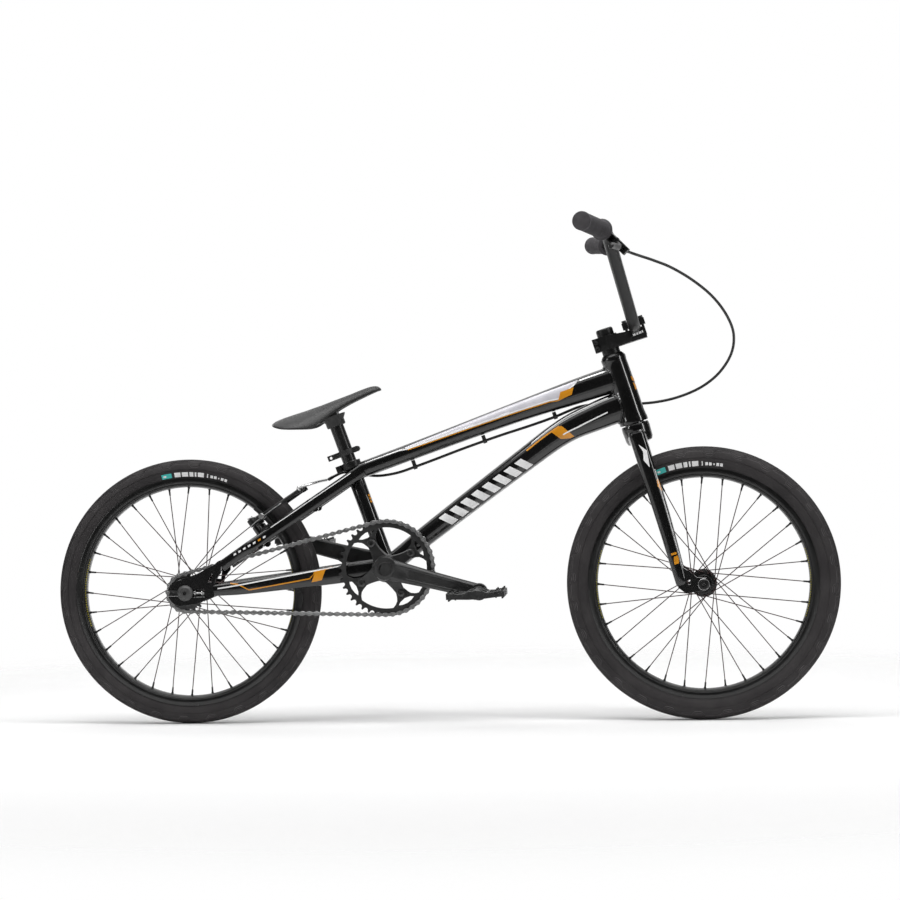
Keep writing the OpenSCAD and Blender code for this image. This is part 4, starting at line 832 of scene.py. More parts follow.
def tyre_mark(s, m, outer, a0, a1, f0, f1, side, k):
    """Patch of ink on the sidewall between wheel angles a0..a1 and section angles f0..f1."""
    sec, mid = section(outer)
    n = max(2, int((a1 - a0) / 1.5) + 2)
    rows = []
    for i in range(n):
        th = RAD(a0 + (a1 - a0) * i / (n - 1))
        spread = [RAD(f0 + (f1 - f0) * j / 3) * side for j in range(4)]
        rows.append([(on_tyre(mid, sec - 0.42, th, ph), on_tyre(mid, sec - 0.9, th, ph)) for ph in spread])
    s.put(slab(rows), m, k)


def rim(node, m, body):
    right = [(191, 5), (191.2, 6.4), (193, 11), (195, 14.3), (195.9, 14.9), (197, 15), (197.6, 14.75),
             (198.4, 14.75), (199, 15), (208.2, 15), (209, 14.6), (209, 13.4), (208.2, 13), (203, 12.4),
             (200.5, 5)]
    s = Shape(RIM, LIME)
    s.spin([(r, -z) for r, z in right] + right[::-1], 192, m)
    # two rows of fine ticks on either side
    tick = [(192.3, 10.2), (193.7, 12.5), (193.5, 12.6), (192.1, 10.3)]
    for mid in (0, 180):
        for side in (-1, 1):
            for a in (mid + 1.3 * k for k in range(-14, 15)):
                ends = [[(*polar(r, RAD(th)), side * z) for r, z in tick] for th in (a - 0.35, a + 0.35)]
                s.put(loft(ends), m, 1)
    s.skin(node, body)


def valve_tube(name, m, outer, body, node, valve_a):
    sec, mid = section(outer)
    s = Shape(TUBE, DARK_STEEL)
    s.spin(arc(sec - 3.6, range(0, 360, 15), mid), 96, m)
    v = m @ rot("Z", valve_a) @ rot("Y", 90)
    s.put(lathe([(2.2, 164), (3.1, 164.6), (3.1, 173), (2.5, 173.4), (2.5, 175), (3, 176), (3.1, 190),
                 (3.1, 206)], 24), v)
    for i in range(6):
        z = 165.4 + 1.2 * i
        s.put(lathe([(3.05, z), (3.3, z + 0.4), (3.05, z + 0.8)], 20), v, 1)
    s.make(name, body, [node])


def spokes(node, m, body, right, left, hole_r):
    """Each flange's spokes leave it in turn to the inside and the outside, crossing three others."""
    s = Shape(SPOKE, ANOD)
    for fz, start in ((right, 0), (-left, SPOKE_STEP / 2)):
        for k in range(16):
            sg = -1 if k % 2 else 1
            out = Vector((0, 0, sg))
            a = RAD(k * SPOKE_STEP + start)
            base = Vector((*polar(hole_r, a), fz))
            bend = base + out * 3.7
            tip = Vector((*polar(SPOKE_END_R, a + sg * RAD(3 * SPOKE_STEP)), copysign(2.5, fz)))
            d = (tip - bend).normalized()
            path = [base - out * 2.6, base - out * 2, base + out * 1.8, bend - out * 0.7 + d * 0.3,
                    bend + d * 1.6, bend + d * 5, tip - d * 14, tip - d * 4]
            s.put(sweep(path, [1.7, 1.5, 0.95, 0.95, 0.92, 0.9, 0.9, 0.9], 8), m)
            s.put(sweep([tip - d * 11.5, tip - d * 11, tip - d * 2.2, tip - d * 2, tip + d * 0.4],
                        [1.3, 1.55, 1.75, 2.25, 2.3], 8), m, 1)
    s.skin(node, body)


def hub(node, m, body, right, left, fr, br, half):
    """Hub with flanges of radius fr at right and -left, on a barrel of radius br."""
    s = Shape(ANOD, DARK_STEEL)
    flange = [(fr - 1, 1.5), (fr, 0.8), (fr, -0.8), (fr - 1, -1.5), (br + 5, -1.6), (br + 1.6, -4), (br, -10),
              (br - 1.2, -18)]
    prof = [(13, right - 5), (13, half - 0.5), (13.6, half), (15.4, half), (16, half - 0.6),
            (16, right + 2.2), (17, right + 1.6)]
    prof += [(r, right + z) for r, z in flange] + [(r, -left - z) for r, z in flange[::-1]]
    prof += [(17, -left - 1.6), (16, -left - 2.2), (16, -left - 5.4), (15.4, -left - 6), (13, -left - 6)]
    s.spin(prof, 96, m)
    s.put(tube_ring(12.9, 5.1, right - 4.6, half - 1.6, 48, 0.3), m, 1)
    s.put(tube_ring(12.9, 5.1, -left - 5, -left - 1, 48, 0.3), m, 1)
    s.skin(node, body)


# plain bars on the sidewall: (width, gap after it, section angles from and to), in degrees
INK = [(3, 0.7, 101, 128), (3, 0.7, 101, 128), (1.9, 0.7, 101, 128), (0.8, 0.7, 101, 128),
       (3, 1.6, 101, 128), (0.5, 1.2, 103, 127), (1.3, 0.5, 108, 124), (1.3, 0.8, 108, 124),
       (0.6, 0.8, 112, 120), (1.3, 0.5, 108, 124), (1.3, 0.5, 108, 124)]
for tag, m, outer, valve_a in (("front", FRONT, FRONT_R, 118.125), ("rear", REAR, REAR_R, 39.375)):
    body = tag + "_wheel"
    tyre(tag + "_tyre", m, outer, body)
    rim(tag + "_rim", m, body)
    valve_tube(tag + "_tube_skin", m, outer, body, tag + "_inner_tube", valve_a)
    from_cad(tag + "_hub_bearings", DARK_STEEL, body, 0.2)
    s = Shape(TYRE_INK, TEAL)
    top = 112.5 if tag == "front" else 102.7
    for side in (1, -1):
        spans = [(top - 4.9, top, 101, 129, 1)]
        a = top - 6.3
        for w, gap, f0, f1 in INK:
            spans.append((a - w, a, f0, f1, 0))
            a -= w + gap
        for a0, a1, f0, f1, k in spans:
            b0, b1 = sorted(90 + (a - 90) * side for a in (a0, a1))
            tyre_mark(s, m, outer, b0, b1, f0, f1, side, k)
            if k == 1:
                tyre_mark(s, m, outer, b0 + 2.7, b1 - 0.8, 110, 121, side, 0)
    s.make(tag + "_tyre_marks", body)

spokes("front_spokes", FRONT, "front_wheel", 30, 30, 21)
spokes("rear_spokes", REAR, "rear_wheel", 27, 33, 24)
hub("front_hub", FRONT, "front_wheel", 30, 30, 24, 12, 36)
hub("rear_hub", REAR, "rear_wheel", 27, 33, 27, 16, 33)

# ------------------------------------------------------------ fork
# sections down a fork leg: [x, y, z, width, depth]
LEG = [[-2, 36.5, -14, 26, 16], [-2, 37.2, -20, 29, 20.5], [-2.4, 40.5, -80, 28.6, 20.4],
       [-3, 45, -160, 27, 19], [-5, 49, -230, 24, 16], [-8, 53, -298, 20, 11.5], [-9, 53, -303, 16, 6.5]]
s = Shape(PAINT)
for side in (-1, 1):
    loops = []
    for x, y, z, w, h in spline(LEG, 6):
        loops.append([(x + p, side * y + q, z) for p, q in outline(w, h, LEG_E, 36)])
    s.put(loft(loops), STEER)
    ring = [(-15, 40), (-16, 8), (-6, -6)] + arc(13, range(-130, -99, 6), FORK_RAKE)
    ring += [(27.58, -12.88), (25.33, -4.69)] + arc(5.1, range(-150, -371, -20), FORK_RAKE)
    ring += [(35.08, -2.07), (37.24, -10.3)] + arc(13, range(-45, 91, 10), FORK_RAKE)
    ring += [(22, 16), (12, 30), (4, 40)]
    s.put(plate(ring, [circle(4.5, 20, (6, 12), True)], 0, DROP_T, 0.6),
          drop_frame(STEER, FRONT_GAP, side, -FORK_LEN))
s.skin("fork_legs", "steering")

s = Shape(PAINT)
crown = []
for y in (-44, -42.5, -38, -30, -20, -10, 0, 10, 20, 30, 38, 42.5, 44):
    t = abs(y) / 44
    w = 40 - 16 * t**1.5 if abs(y) < 40 else 24 - (abs(y) - 38) * 2.4
    h = 27 - 5 * t**2 if abs(y) < 40 else 21 - (abs(y) - 38) * 2.4
    crown.append([(-2 + p, y, -27.5 + q) for p, q in outline(w, h, 0.72, 36)])
s.put(loft(crown), STEER)
s.spin([(11, -38), (17, -38), (22.5, -36), (25, -30), (26, -10), (25.6, -4), (24.4, -1.8), (18, -1.5),
        (18, 10), (14.3, 23), (14.3, 165), (11, 165)], 64, STEER)
s.make("fork_crown_skin", "steering", ["fork_steerer"])

s = Shape(DARK_STEEL)
s.put(cyl(5, -63, 63, 32, 0.8), FRONT)
for z0 in (44, -50):
    s.put(tube_ring(8.5, 5, z0, z0 + 6, 40, 0.5), FRONT)
s.skin("front_axle", "steering")
s = Shape(ANOD, STEEL)
for side in (0, 180):
    m = FRONT @ rot("Y", side)
    s.spin([(5.05, 56.05), (10.2, 56.05), (10.5, 56.3), (10.5, 57.3), (10.1, 57.7), (5.05, 57.7)], 48, m, 1)
    s.spin([(5.05, 57.7), (7.9, 57.7), (8.7, 58.5), (8.7, 65.2), (7.8, 66.4), (5.05, 66.6)], 6, m)
    s.spin([(5.05, 57.75), (9.4, 57.75), (9.4, 59), (8.2, 59.6), (5.05, 59.6)], 40, m)
s.skin("front_axle_bolts", "steering", smooth=28)

# ------------------------------------------------------------ stem, spacers, bar, grips
from_cad("stem", ANOD, "steering", 1.3)
from_cad("stem_clamp_plate", ANOD, "steering", 1.6)
from_cad("stem_bolts", DARK_STEEL, "steering", 0.3)
s = Shape(WHITE)
for side in (-1, 1):
    y = side * 23.15
    for x, w in ((47, 5), (53.4, 3.4), (58.2, 5), (64.4, 2)):
        z = 147 + 0.06 * x
        s.put(block(x, x + w, y - 0.25, y + 0.25, z, z + 4, 0.1), STEER)
s.make("stem_marks", "steering")
s = Shape(ANOD)
s.spin([(14.4, 126.3), (21.2, 126.3), (21.5, 126.8), (20.9, 127.6), (18.2, 131.4), (16.4, 132),
        (16.4, 132.6), (16.3, 136.4), (15.9, 136.6), (16.3, 136.9), (16.3, 141), (14.4, 141.1)], 64, STEER)
s.make("spacers_skin", "steering", ["headset_spacers"])
s = Shape(ANOD)
s.put(lathe([(0.2, 166.72), (15.2, 166.72), (15.6, 167.2), (15.6, 176.6), (15, 178.6), (13.6, 180),
             (4.6, 180.2), (3.7, 179.6), (3.6, 175), (0.2, 174.7)], 64), STEER)
s.skin("stem_cap", "steering")

BAR_MID, BAR_LOW = Vector((54, 0, 164.7)), Vector((54, 48, 164.7))
BAR_TOP, BAR_END = Vector((60, 199, 332)), Vector((24.8, 355.9, 353.1))
GRIP_DIR, GRIP_LEN = (BAR_END - BAR_TOP).normalized(), 132


def corner(a, b, c, d, n):
    """Rounded corner at b, starting d before it."""
    p, q = b + (a - b).normalized() * d, b + (c - b).normalized() * d
    return [p * (1 - t)**2 + b * 2 * t * (1 - t) + q * t * t for t in [i / n for i in range(n + 1)]]


half = [BAR_MID] + corner(BAR_MID, BAR_LOW, BAR_TOP, 22, 9) + corner(BAR_LOW, BAR_TOP, BAR_END, 20, 9)
half.append(BAR_END - GRIP_DIR * 3)
flip = Matrix.Scale(-1, 4, Vector((0, 1, 0)))
path = [flip @ p for p in half[:0:-1]] + half
s = Shape(BAR)
s.put(sweep(path, 11.1, 40), STEER)
cross = BAR_LOW + (BAR_TOP - BAR_LOW) * 0.56
s.put(sweep([flip @ cross, cross], 7.5, 32), STEER)
d = (BAR_TOP - BAR_LOW).normalized()
for c in (cross, flip @ cross):
    y = copysign(1, c.y)
    seam = []
    for a in turns(48):
        dy = 11 / sqrt(1 - d.y**2) * sqrt(max(0, 1 - (7.6 * cos(a) / 11.1)**2))
        seam.append(c + Vector((7.9 * cos(a), -y * dy, 7.9 * sin(a))))
    s.put(bead(seam, 1.6), STEER)
s.skin("handlebar", "steering")

CAP = material("grip_cap", (0.05, 0.046, 0.05), (0.075, 0.07, 0.075), 0.6, scale=80, bump=0.2)
s = Shape(GRIP, CAP)
for mirror in (Matrix.Identity(4), flip):
    d, start = mirror @ GRIP_DIR, mirror @ (BAR_END - GRIP_DIR * GRIP_LEN)
    at = STEER @ axes(start, Vector((0, 0, 1)).cross(d), d)
    prof = [(11.15, 0), (18, 0), (19, 0.8), (19, 2.6), (18.2, 3.6), (16.2, 4.6), (15.2, 6)]
    for k in range(18):
        z = 7.5 + 6.35 * k
        prof += [(14.3, z), (15.8, z + 0.6), (16.05, z + 1.3), (16.05, z + 2.9), (15.8, z + 3.6),
                 (14.3, z + 4.2)]
    prof += [(15, 122), (15.9, 123), (16.5, 124.4), (16.5, 129), (15.8, 131), (14.6, 131.8),
             (12.6, 131.9), (12.2, 131.4), (11, 131.4), (10.6, 131.9), (4.2, 131.9), (3.8, 131.5),
             (0.2, 131.5), (0.2, 129.4), (11.15, 129.3)]
    s.spin(prof, 72, at)
    s.put(lathe([(0.2, 131.6), (14.8, 131.82), (15.2, 131.9), (15.2, 132), (14.6, 132.1), (0.2, 132.1)],
                72), at, 1)
s.skin("grips", "steering", smooth=34)

# ------------------------------------------------------------ brake lever
LEVER_X = flip @ GRIP_DIR
LEVER_AT = (flip @ BAR_TOP) + LEVER_X * 22
LEVER_Z = Vector((0.476, 0, -0.851))
LEVER_Z = (LEVER_Z - LEVER_X * LEVER_Z.dot(LEVER_X)).normalized()
LEVER = STEER @ axes(LEVER_AT, LEVER_X, LEVER_Z)
from_cad("lever_bracket", ANOD, "steering", 0.7)
s = Shape(ANOD)
m = LEVER @ move(-11, 0, 49) @ rot("Y", -90)
s.spin([(2.6, -8.8), (3.2, -8.8), (3.2, 0), (5.2, 0.1), (5.5, 0.5), (5.5, 2.6), (5.1, 3), (4.6, 3.3),
        (5.2, 3.8), (5.2, 8), (4.7, 9), (4.5, 12), (4, 13.8), (2.6, 13.9)], 40, m)
for a in turns(14):
    s.put(bar((*polar(5.1, a), 4), (*polar(5, a), 7.8), 0.55, 6), m)
s.skin("barrel_adjuster", "steering")
s = Shape(ANOD, DARK_STEEL)
s.spin([(2.55, -4.2), (6.1, -4.2), (6.6, -3.7), (6.6, 3.7), (6.1, 4.2), (2.55, 4.2)], 40,
       LEVER @ move(0, 0, 30) @ rot("X", 90))
blade = spline([(2, 0, 34), (12, 0, 40.5), (22, 0, 46), (32, 0, 50), (50, 0, 51.6), (70, 0, 52.4),
                (88, 0, 54.2), (96, 0, 56.6), (102.5, 0, 60.5)], 5)
n = len(blade)
s.put(sweep(blade, [5.0 - 1.2 * i / n for i in range(n - 2)] + [3.2, 2], 20,
            squash=[(1, 1.0 + 0.35 * min(1, i / n * 2)) for i in range(n)]), LEVER)
s.put(bar((3, -4.5, 42), (3, 4.5, 42), 2.6, 16), LEVER, 1)
s.skin("brake_lever", "brake_lever")

# ------------------------------------------------------------ rear brake
for side, name, pad in ((-1, "brake_arm_right", "brake_pad_right"), (1, "brake_arm_left", "brake_pad_left")):
    m = arm_frame(side)
    s = Shape(ANOD, STEEL)
    s.spin([(4.06, 24.1), (7.4, 24.1), (8, 24.7), (8, 37), (7.4, 37.9), (4.06, 37.9)], 40, m)
    path = spline([(2, side, 31), (16, side * 3.2, 31), (34, side * 4.2, 31), (52, side * 3.8, 31),
                   (74, -side * 0.8, 31), (92, -side * 5, 31), (104, -side * 7, 31)], 5)
    n = len(path)
    s.put(sweep(path, [6.3 - 1.6 * i / n for i in range(n)], 20,
                squash=[((4.6 + 0.4 * cos(i / n * 6)) / 6.3, 1) for i in range(n)]), m)
    s.put(lathe([(0.2, 26.6), (4.8, 26.6), (5.4, 27.2), (5.4, 34.8), (4.8, 35.4), (0.2, 35.4)], 28),
          m @ move(104, -side * 7, 0))
    s.put(lathe([(0.2, 38.2), (4.6, 38.2), (5.2, 38.6), (5.2, 40.2), (4.4, 41.6), (2.6, 41.8), (2.4, 40.6),
                 (0.2, 40.4)], 24), m, 1)
    wire = spline([(-5.6, side * 5.2, 25), (-6.5, side * 8.6, 26), (4, side * 10.2, 28), (22, side * 9.8, 29),
                   (44, side * 9.6, 30), (60, side * 9.4, 30), (63, side * 7.4, 30)], 6)
    s.put(sweep(wire, 0.85, 8), m, 1)
    s.skin(name, name)
    s = Shape(RUBBER, STEEL, PLASTIC)
    z0 = 17 if side < 0 else -26
    loops = []
    for i in range(17):
        a = RAD(43.3 - 7.5 + 15 * i / 16)
        sink = 0.8 if i % 4 == 2 else 0
        e = 0.6 if 0 < i < 16 else 1.2
        face, back = (z0 + sink, z0 + 9) if side < 0 else (z0 + 9 - sink, z0)
        g = 1 if side < 0 else -1
        sec = [(192 + e, face + g * 0.2), (200 - e, face + g * 0.2), (200, face + g * 1),
               (199.6, back - g * 1.4), (198.5, back), (193.5, back), (192.4, back - g * 1.4),
               (192, face + g * 1)]
        loops.append([(*polar(r, a), z) for r, z in sec])
    s.put(loft(loops), REAR)
    post = m @ move(21, 0, 31) @ rot("X", side * 90)
    s.put(cyl(3, -13, 14.6, 20), post, 1)
    for z in (6.5, 9.9):
        s.spin([(3, z), (6.2, z), (6.5, z + 0.5), (5.4, z + 2.8), (3, z + 3)], 32, post, 1)
    s.put(lathe([(0.2, -14.5), (4.9, -14.5), (5.5, -14), (5.5, -10.4), (4.9, -10), (0.2, -10)], 6), post, 1)
    s.spin([(3, -9.9), (6.3, -9.9), (6.3, -9.1), (4.6, -7), (3, -7)], 32, post, 2)
    s.skin(pad, name)

# where the arms' upper ends are held together
TIP = STUD + Matrix.Rotation(RAD(-STAY_A), 3, "Y") @ Vector((104, 0, 31))
s = Shape(SILVER)
s.put(sweep(spline([(254.5, -3, 443.4), (247, -15, 441.8), (238, -28, 439.5), (226, -40, 436),
                    (214, -47, 432.5), (207, -48, 430.5), (TIP.x, -44, TIP.z), (TIP.x, -38, TIP.z),
                    (TIP.x, -28, TIP.z)], 6), 2.4, 20), PLACE)
s.make("noodle_skin", "brake_arm_right", ["brake_noodle"])
s = Shape(STEEL)
s.put(bar((TIP.x, 46, TIP.z), (TIP.x, -16.8, TIP.z), 0.8, 10), PLACE)
s.put(bar((TIP.x, 45, TIP.z), (TIP.x, 41, TIP.z), 3, 20), PLACE)
s.skin("brake_wire", "brake_arm_left")
boot = PLACE @ move(TIP.x, -29, TIP.z) @ rot("X", -90)
prof = [(2.5, 0), (4.6, 0)]
for k in range(8):
    prof += [(5.2 - 0.22 * k, 2 + 4.2 * k), (4.3 - 0.2 * k, 4.1 + 4.2 * k)]
prof += [(3.2, 37), (2.4, 37.6), (2.3, 36), (4.2, 6), (2.5, 3)]
Shape(RUBBER).spin(prof, 32, boot).make("cable_boot", "brake_arm_right")

# ------------------------------------------------------------ brake cable and its clips
ROUTE = [(811, -205.6, 839.2), (817, -193, 836.8), (832, -180, 832), (855, -169, 824.5), (887, -152, 812),
         (925, -125, 790), (960, -92, 762), (985, -60, 730), (998, -28, 697), (994, 4, 662),
         (972, 26, 628), (940, 38, 603), (900, 42, 586), (860, 40, 577), (820, 37, 574), (780, 33, 575),
         (745, 29, 574), (718, 20, 570), (697, 5, 562), (674, 0, 552.5), (630, 0, 537.5), (580, 0, 522),
         (545, 0, 510.5), (500, 0, 495), (455, 0, 478.5), (417, 0, 465), (390, 5, 456), (366, 16, 451),
         (344, 28, 449), (322, 34, 451), (300, 34, 455), (282, 26, 456), (268, 12, 450), (258, 0, 444)]
path = spline(ROUTE, 7)
n = len(path)
# ferrules at both ends
radii = [2.95] * 5 + [2.5] * (n - 10) + [2.95] * 5
cable = Shape(CABLE).put(sweep(path, radii, 16), PLACE).make("cable_skin", None)
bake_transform(cable)
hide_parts("brake_cable")
s = Shape(PLASTIC)
for (x, y, z), reach in (((674, 0, 552.5), 9), ((545, 0, 510.5), 10.6), ((417, 0, 465), 12.6)):
    m = PLACE @ move(x, y, z) @ rot("Y", 90 - 19.6)
    s.put(tube_ring(4.5, 2.9, -3.5, 3.5, 24, 0.4), m)
    s.put(block(-reach, -3.6, -2, 2, -3.4, 3.4, 0.5), m)
s.skin("cable_guides", "frame")

# ------------------------------------------------------------ saddle
# (x, half width, height at the middle, height at the edge, thickness)
SADDLE_ST = [(156.9, 14, 545.2, 544.6, 1), (159, 27, 546, 542.6, 2.2), (165, 42, 548, 540.2, 4),
             (180, 55.5, 552, 537.2, 5.8), (200, 60.8, 557.6, 536.4, 6.6), (220, 58.8, 563.8, 537, 6.6),
             (235, 51.5, 569, 540.5, 6.6), (250, 42, 574, 549.5, 6.6), (265, 33.5, 579.6, 561, 6.6),
             (280, 27, 585, 571.5, 6.6), (300, 21.5, 592, 582.5, 6.8), (320, 18.6, 600, 592, 6.6),
             (338, 16.2, 606.4, 600, 6), (349, 12, 608.4, 604.2, 4.6), (355, 6.4, 607.4, 605.4, 2.4),
             (356.9, 2.4, 606.4, 605.8, 0.8)]
s = Shape(SADDLE)
loops = []
for x, hw, zc, ze, th in spline(SADDLE_ST, 5):
    loop = []
    for a in turns(56):
        c = copysign(abs(cos(a))**0.82, cos(a))
        h = copysign(abs(sin(a))**0.75, sin(a))
        z = zc - (zc - ze) * abs(c)**2.5 + th * h * (1.0 if h > 0 else 0.8)
        loop.append((x, hw * c, z))
    loops.append(loop)
s.put(loft(loops), PLACE)
saddle = s.skin("saddle", "frame", smooth=60)

# ------------------------------------------------------------ marks: thin closed slabs lying on the skins
def on_wall(stations, e, side):
    """Point maker for a tube's side wall: x along its centre line, q across."""
    rows = spline(stations, 12)

    def point(x, q, lift):
        cx, cy, cz, a, w, h = row_at(rows, 0, x)
        f = min(0.999, abs(2 * q / h))
        y = w / 2 * (1 - f ** (2 / e)) ** (e / 2) + lift
        return Vector((cx - q * sin(RAD(a)), side * (cy + y), cz + q * cos(RAD(a))))
    return point


ACROSS = 6


def mark(shape, k, point, sections, slant=0, step=7, m=PLACE, lift=0.32):
    """Stripe through sections (x, low, high); slant leans its ends."""
    rows = []
    for (x0, a0, b0), (x1, a1, b1) in zip(sections, sections[1:]):
        cuts = max(1, int(abs(x1 - x0) / step))
        for i in range(cuts + (x1 == sections[-1][0])):
            t = i / cuts
            row = []
            for j in range(ACROSS + 1):
                lo, hi = a0 + (a1 - a0) * t, b0 + (b1 - b0) * t
                q = lo + (hi - lo) * j / ACROSS
                x = x0 + (x1 - x0) * t + slant * (q - (a0 + b0) / 2)
                row.append((point(x, q, lift), point(x, q, -0.5)))
            rows.append(row)
    shape.put(slab(rows), m, k)


s = Shape(WHITE, SILVER_INK, ORANGE)
for side in (-1, 1):
    on_top, on_down = on_wall(TOP, TUBE_E, side), on_wall(DOWN, TUBE_E, side)
    on_chain_stay, on_seat_stay = on_wall(CHAIN_STAY, STAY_E, side), on_wall(SEAT_STAY, TUBE_E, side)
    mark(s, 1, on_top, [(404, 8.6, 11), (500, 6.2, 13.4), (600, 3.2, 15.8), (664, 1, 17), (680, -1.4, 17.2),
                        (707, 11.2, 18.2), (712, 13, 18.4), (721, 17.8, 18.8)])
    mark(s, 0, on_top, [(330, 9.4, 10.6), (392, 8.4, 10.4), (404, 5.8, 8.6), (500, 3.2, 6.2),
                        (600, 0.4, 3.2), (664, -1.6, 1), (680, -4, -1.4), (707, 8.9, 11.2),
                        (712, 10.6, 13), (719, 15.6, 17.8)])
    mark(s, 2, on_top, [(407, 3.8, 5.4), (500, 1.2, 2.9), (600, -1.6, 0.1), (664, -3.6, -1.9),
                        (678, -6.2, -4.4), (704, -3, -1.6)])
    mark(s, 2, on_top, [(683, -4.4, 8), (707, -3.4, 8.4)], slant=0.62, lift=0.42)
    mark(s, 0, on_top, [(724, 15.6, 18.4), (770, 16.4, 19.2)])
    for k in range(8):
        x, low, high = 472 + 19.4 * k, -17 - 0.5 * k, 11 - 0.75 * k
        mark(s, 0, on_down, [(x, low, high), (x + 12, low, high)], slant=-0.4)
    mark(s, 2, on_down, [(628, 9.6, 12.4), (660, 10.4, 13.2), (688, 10.6, 13.6)])
    mark(s, 2, on_down, [(676, -9, 12.4), (694, -22.4, 11.4)], slant=-0.3)
    # the next two white lines along the down tube are painted reflections, standing in for its ridges
    # catching the light, not print
    mark(s, 0, on_down, [(640, 15.4, 16.9), (680, 17.4, 19.4), (712, 19.6, 21.4), (749, 20.8, 23.4),
                         (778, 21.6, 23.6)])
    mark(s, 0, on_down, [(686, -5.8, -3.4), (713, -6.8, -4), (769, -2.8, -0.6)])
    mark(s, 0, on_chain_stay, [(60, 1.8, 4.2), (150, 7.2, 9.6), (283, 13.6, 15.6)])
    mark(s, 2, on_chain_stay, [(84, 9.4, 11.6), (98, 5.4, 8), (116, -6.6, -4.4), (226, -1.6, 0.8),
                               (236, 8.6, 11.4), (268, 13.2, 15.6)])
    mark(s, 2, on_chain_stay, [(232, -7.6, 9), (250, -6, 12.6)], slant=0.5)
    for k in range(7):
        x, q = 92 + 8.4 * k, 2.4 - 0.7 * k
        mark(s, 2 if k == 5 else 0, on_seat_stay, [(x, q, q + 3.2), (x + 4.4, q - 0.3, q + 2.9)], slant=0.3)
    mark(s, 0, on_seat_stay, [(160, 6.6, 8), (250, 6.8, 8.4), (305, 6.4, 8)])
s.make("frame_marks", "frame")


def on_round(radius, side):
    """Point maker for a round tube: x is the angle in degrees from its front, q the height."""
    def point(a, q, lift):
        x, y = polar(radius + lift, RAD(a))
        return Vector((x, side * y, q))
    return point


s = Shape(WHITE, ORANGE)
for side in (-1, 1):
    for low, high in ((36, 66), (70, 78)):
        mark(s, 1, on_round(23.9, side), [(4, low, high), (32, low + 5, high + 5)], m=STEER, step=2)
    for z in range(38, 59, 5):
        mark(s, 0, on_round(24.3, side), [(116, z, z + 3), (121, z, z + 3)], m=STEER, step=2)
    for z in range(121, 134, 6):
        mark(s, 1, on_round(14.3, side), [(16, z, z + 4), (40, z, z + 4)], m=seat_at(BB_Z), step=4)
s.make("tube_marks", "frame")

LEG_FINE = spline(LEG, 12)


def on_leg(side):
    """Point maker for the outside of a fork leg: z down the leg, x across."""
    def point(z, x, lift):
        cx, cy, _, w, h = row_at(LEG_FINE, 2, z)
        f = min(0.999, abs(2 * (x - cx) / w))
        return Vector((x, side * (cy + h / 2 * (1 - f ** (2 / LEG_E)) ** (LEG_E / 2) + lift), z))
    return point


s = Shape(WHITE, ORANGE)
for side in (-1, 1):
    leg = on_leg(side)
    mark(s, 0, leg, [(-40, -4.4, -3.6), (-54, -0.5, 6.7), (-69, -4.4, 4.6), (-83, 1.6, 2.6)], m=STEER, step=3)
    mark(s, 1, leg, [(-109, 7.4, 10.4), (-121, 5.4, 10.6), (-131, 9.2, 10.6)], m=STEER, step=3)
    mark(s, 1, leg, [(-243, -9.6, 0.4), (-247, -9.8, 0.8)], m=STEER, step=3)
    mark(s, 1, leg, [(-250, -6, 1), (-256, -8.4, 1.2), (-264, -9.4, -1)], m=STEER, step=3)
    mark(s, 0, leg, [(-90, 9.2, 10.2), (-180, 6.6, 7.6), (-270, 2.8, 3.6), (-296, 1.4, 2)], m=STEER, step=6)
s.make("fork_marks", "steering")

# ------------------------------------------------------------ studio
def studio(name, verts, faces, mat):
    mesh = bpy.data.meshes.new(name)
    mesh.from_pydata(verts, [], faces)
    mesh.shade_smooth()
    mesh.materials.append(mat)
    o = add_object(name, mesh)
    return o


def paper(name, fade=None):
    """White paper; with fade, it thins out to nothing between two distances from the origin, in metres."""
    m, tree, shader = new_material(name)
    set_inputs(shader, Base_Color=(0.94, 0.94, 0.94, 1), Roughness=0.8, Specular_IOR_Level=0.1)
    if fade:
        where = add_node(tree, "TexCoord")
        reach = add_node(tree, "VectorMath")
        reach.operation = "LENGTH"
        span = add_node(tree, "MapRange", From_Min=fade[0], From_Max=fade[1], To_Min=1.0, To_Max=0.0)
        span.interpolation_type = "SMOOTHSTEP"
        join(tree, [(where, "Object", reach, "Vector"), (reach, "Value", span, "Value"),
                    (span, "Result", shader, "Alpha")])
    return m


# the floor that shows: a disc that fades into the white surround
FLOOR_R = 2.2
rim_pts = [(*polar(FLOOR_R, a), 0) for a in turns(96)]
studio("floor", rim_pts, [tuple(range(96))], paper("floor_paper", (1, 2)))

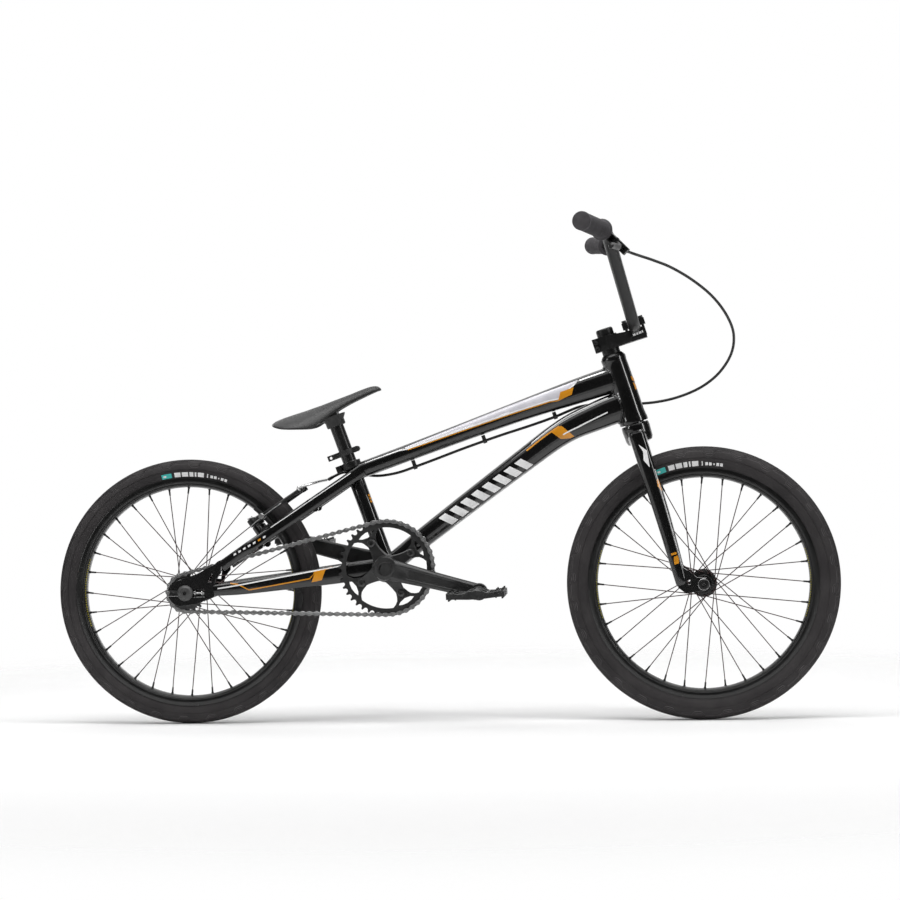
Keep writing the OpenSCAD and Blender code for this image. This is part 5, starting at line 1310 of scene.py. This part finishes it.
# the paper sweep behind the bike only lights it and is mirrored in it
SWEEP_R, SWEEP_Y = 1.2, 2.2
sweep_pts = [(-2.9, 0)] + [(SWEEP_Y + SWEEP_R * sin(RAD(a)), SWEEP_R * (1 - cos(RAD(a))))
                             for a in range(0, 91, 6)] + [(SWEEP_Y + SWEEP_R, 5)]
verts = [(x, y, z - 0.003) for y, z in sweep_pts for x in (-6, 6)]
faces = [(2 * i, 2 * i + 1, 2 * i + 3, 2 * i + 2) for i in range(len(sweep_pts) - 1)]
studio("backdrop", verts, faces, paper("backdrop_paper")).visible_camera = False

# dim all round, white where it is seen directly
SURROUND = 0.035
world = bpy.data.worlds.new("studio")
bpy.context.scene.world = world
world.use_nodes = True
tree = world.node_tree
glow = tree.nodes["Background"]
set_inputs(glow, Color=(1, 1, 1, 1))
ray = add_node(tree, "LightPath")
level = add_node(tree, "MapRange", To_Min=SURROUND, To_Max=1.0)
join(tree, [(ray, "Is Camera Ray", level, "Value"), (level, "Result", glow, "Strength")])


def light(name, at, to, w, h, power):
    data = bpy.data.lights.new(name, "AREA")
    data.shape = "RECTANGLE"
    data.size, data.size_y, data.energy = w, h, power
    o = add_object(name, data)
    look = (Vector(to) - Vector(at)).to_track_quat("-Z", "Y").to_matrix().to_4x4()
    o.matrix_world = Matrix.Translation(Vector(at)) @ look


light("top", (0, -0.5, 2.7), (0, 0, 0.3), 3.4, 0.9, 58)
light("side_left", (-3, -1.6, 1.6), (0, 0, 0.4), 0.5, 2.2, 26)
light("side_right", (3, -1.4, 1.6), (0, 0, 0.5), 0.4, 2.2, 26)
light("wall_high", (0, 1.3, 4.2), (0, 3.3, 1.6), 6, 1.6, 34)
light("floor_back", (0, 1.6, 2.8), (0, 1.6, 0), 6, 1.6, 33)
light("floor_front", (0, -2.6, 3.4), (0, -2.4, 0), 5, 1.4, 25)

# ------------------------------------------------------------ camera
cam = bpy.data.cameras.new("camera")
cam.lens, cam.sensor_width = 118.846, 36
cam.clip_start, cam.clip_end = 0.1, 60
eye = add_object("camera", cam)
eye.matrix_world = (move(0.41882, -5.4, 0.5323) @ rot("Z", 4.3369)
                    @ rot("X", 90 - 0.3985) @ Matrix.Rotation(-0.01482, 4, "Z"))
bpy.context.scene.camera = eye
bpy.context.scene.view_settings.view_transform = "Standard"
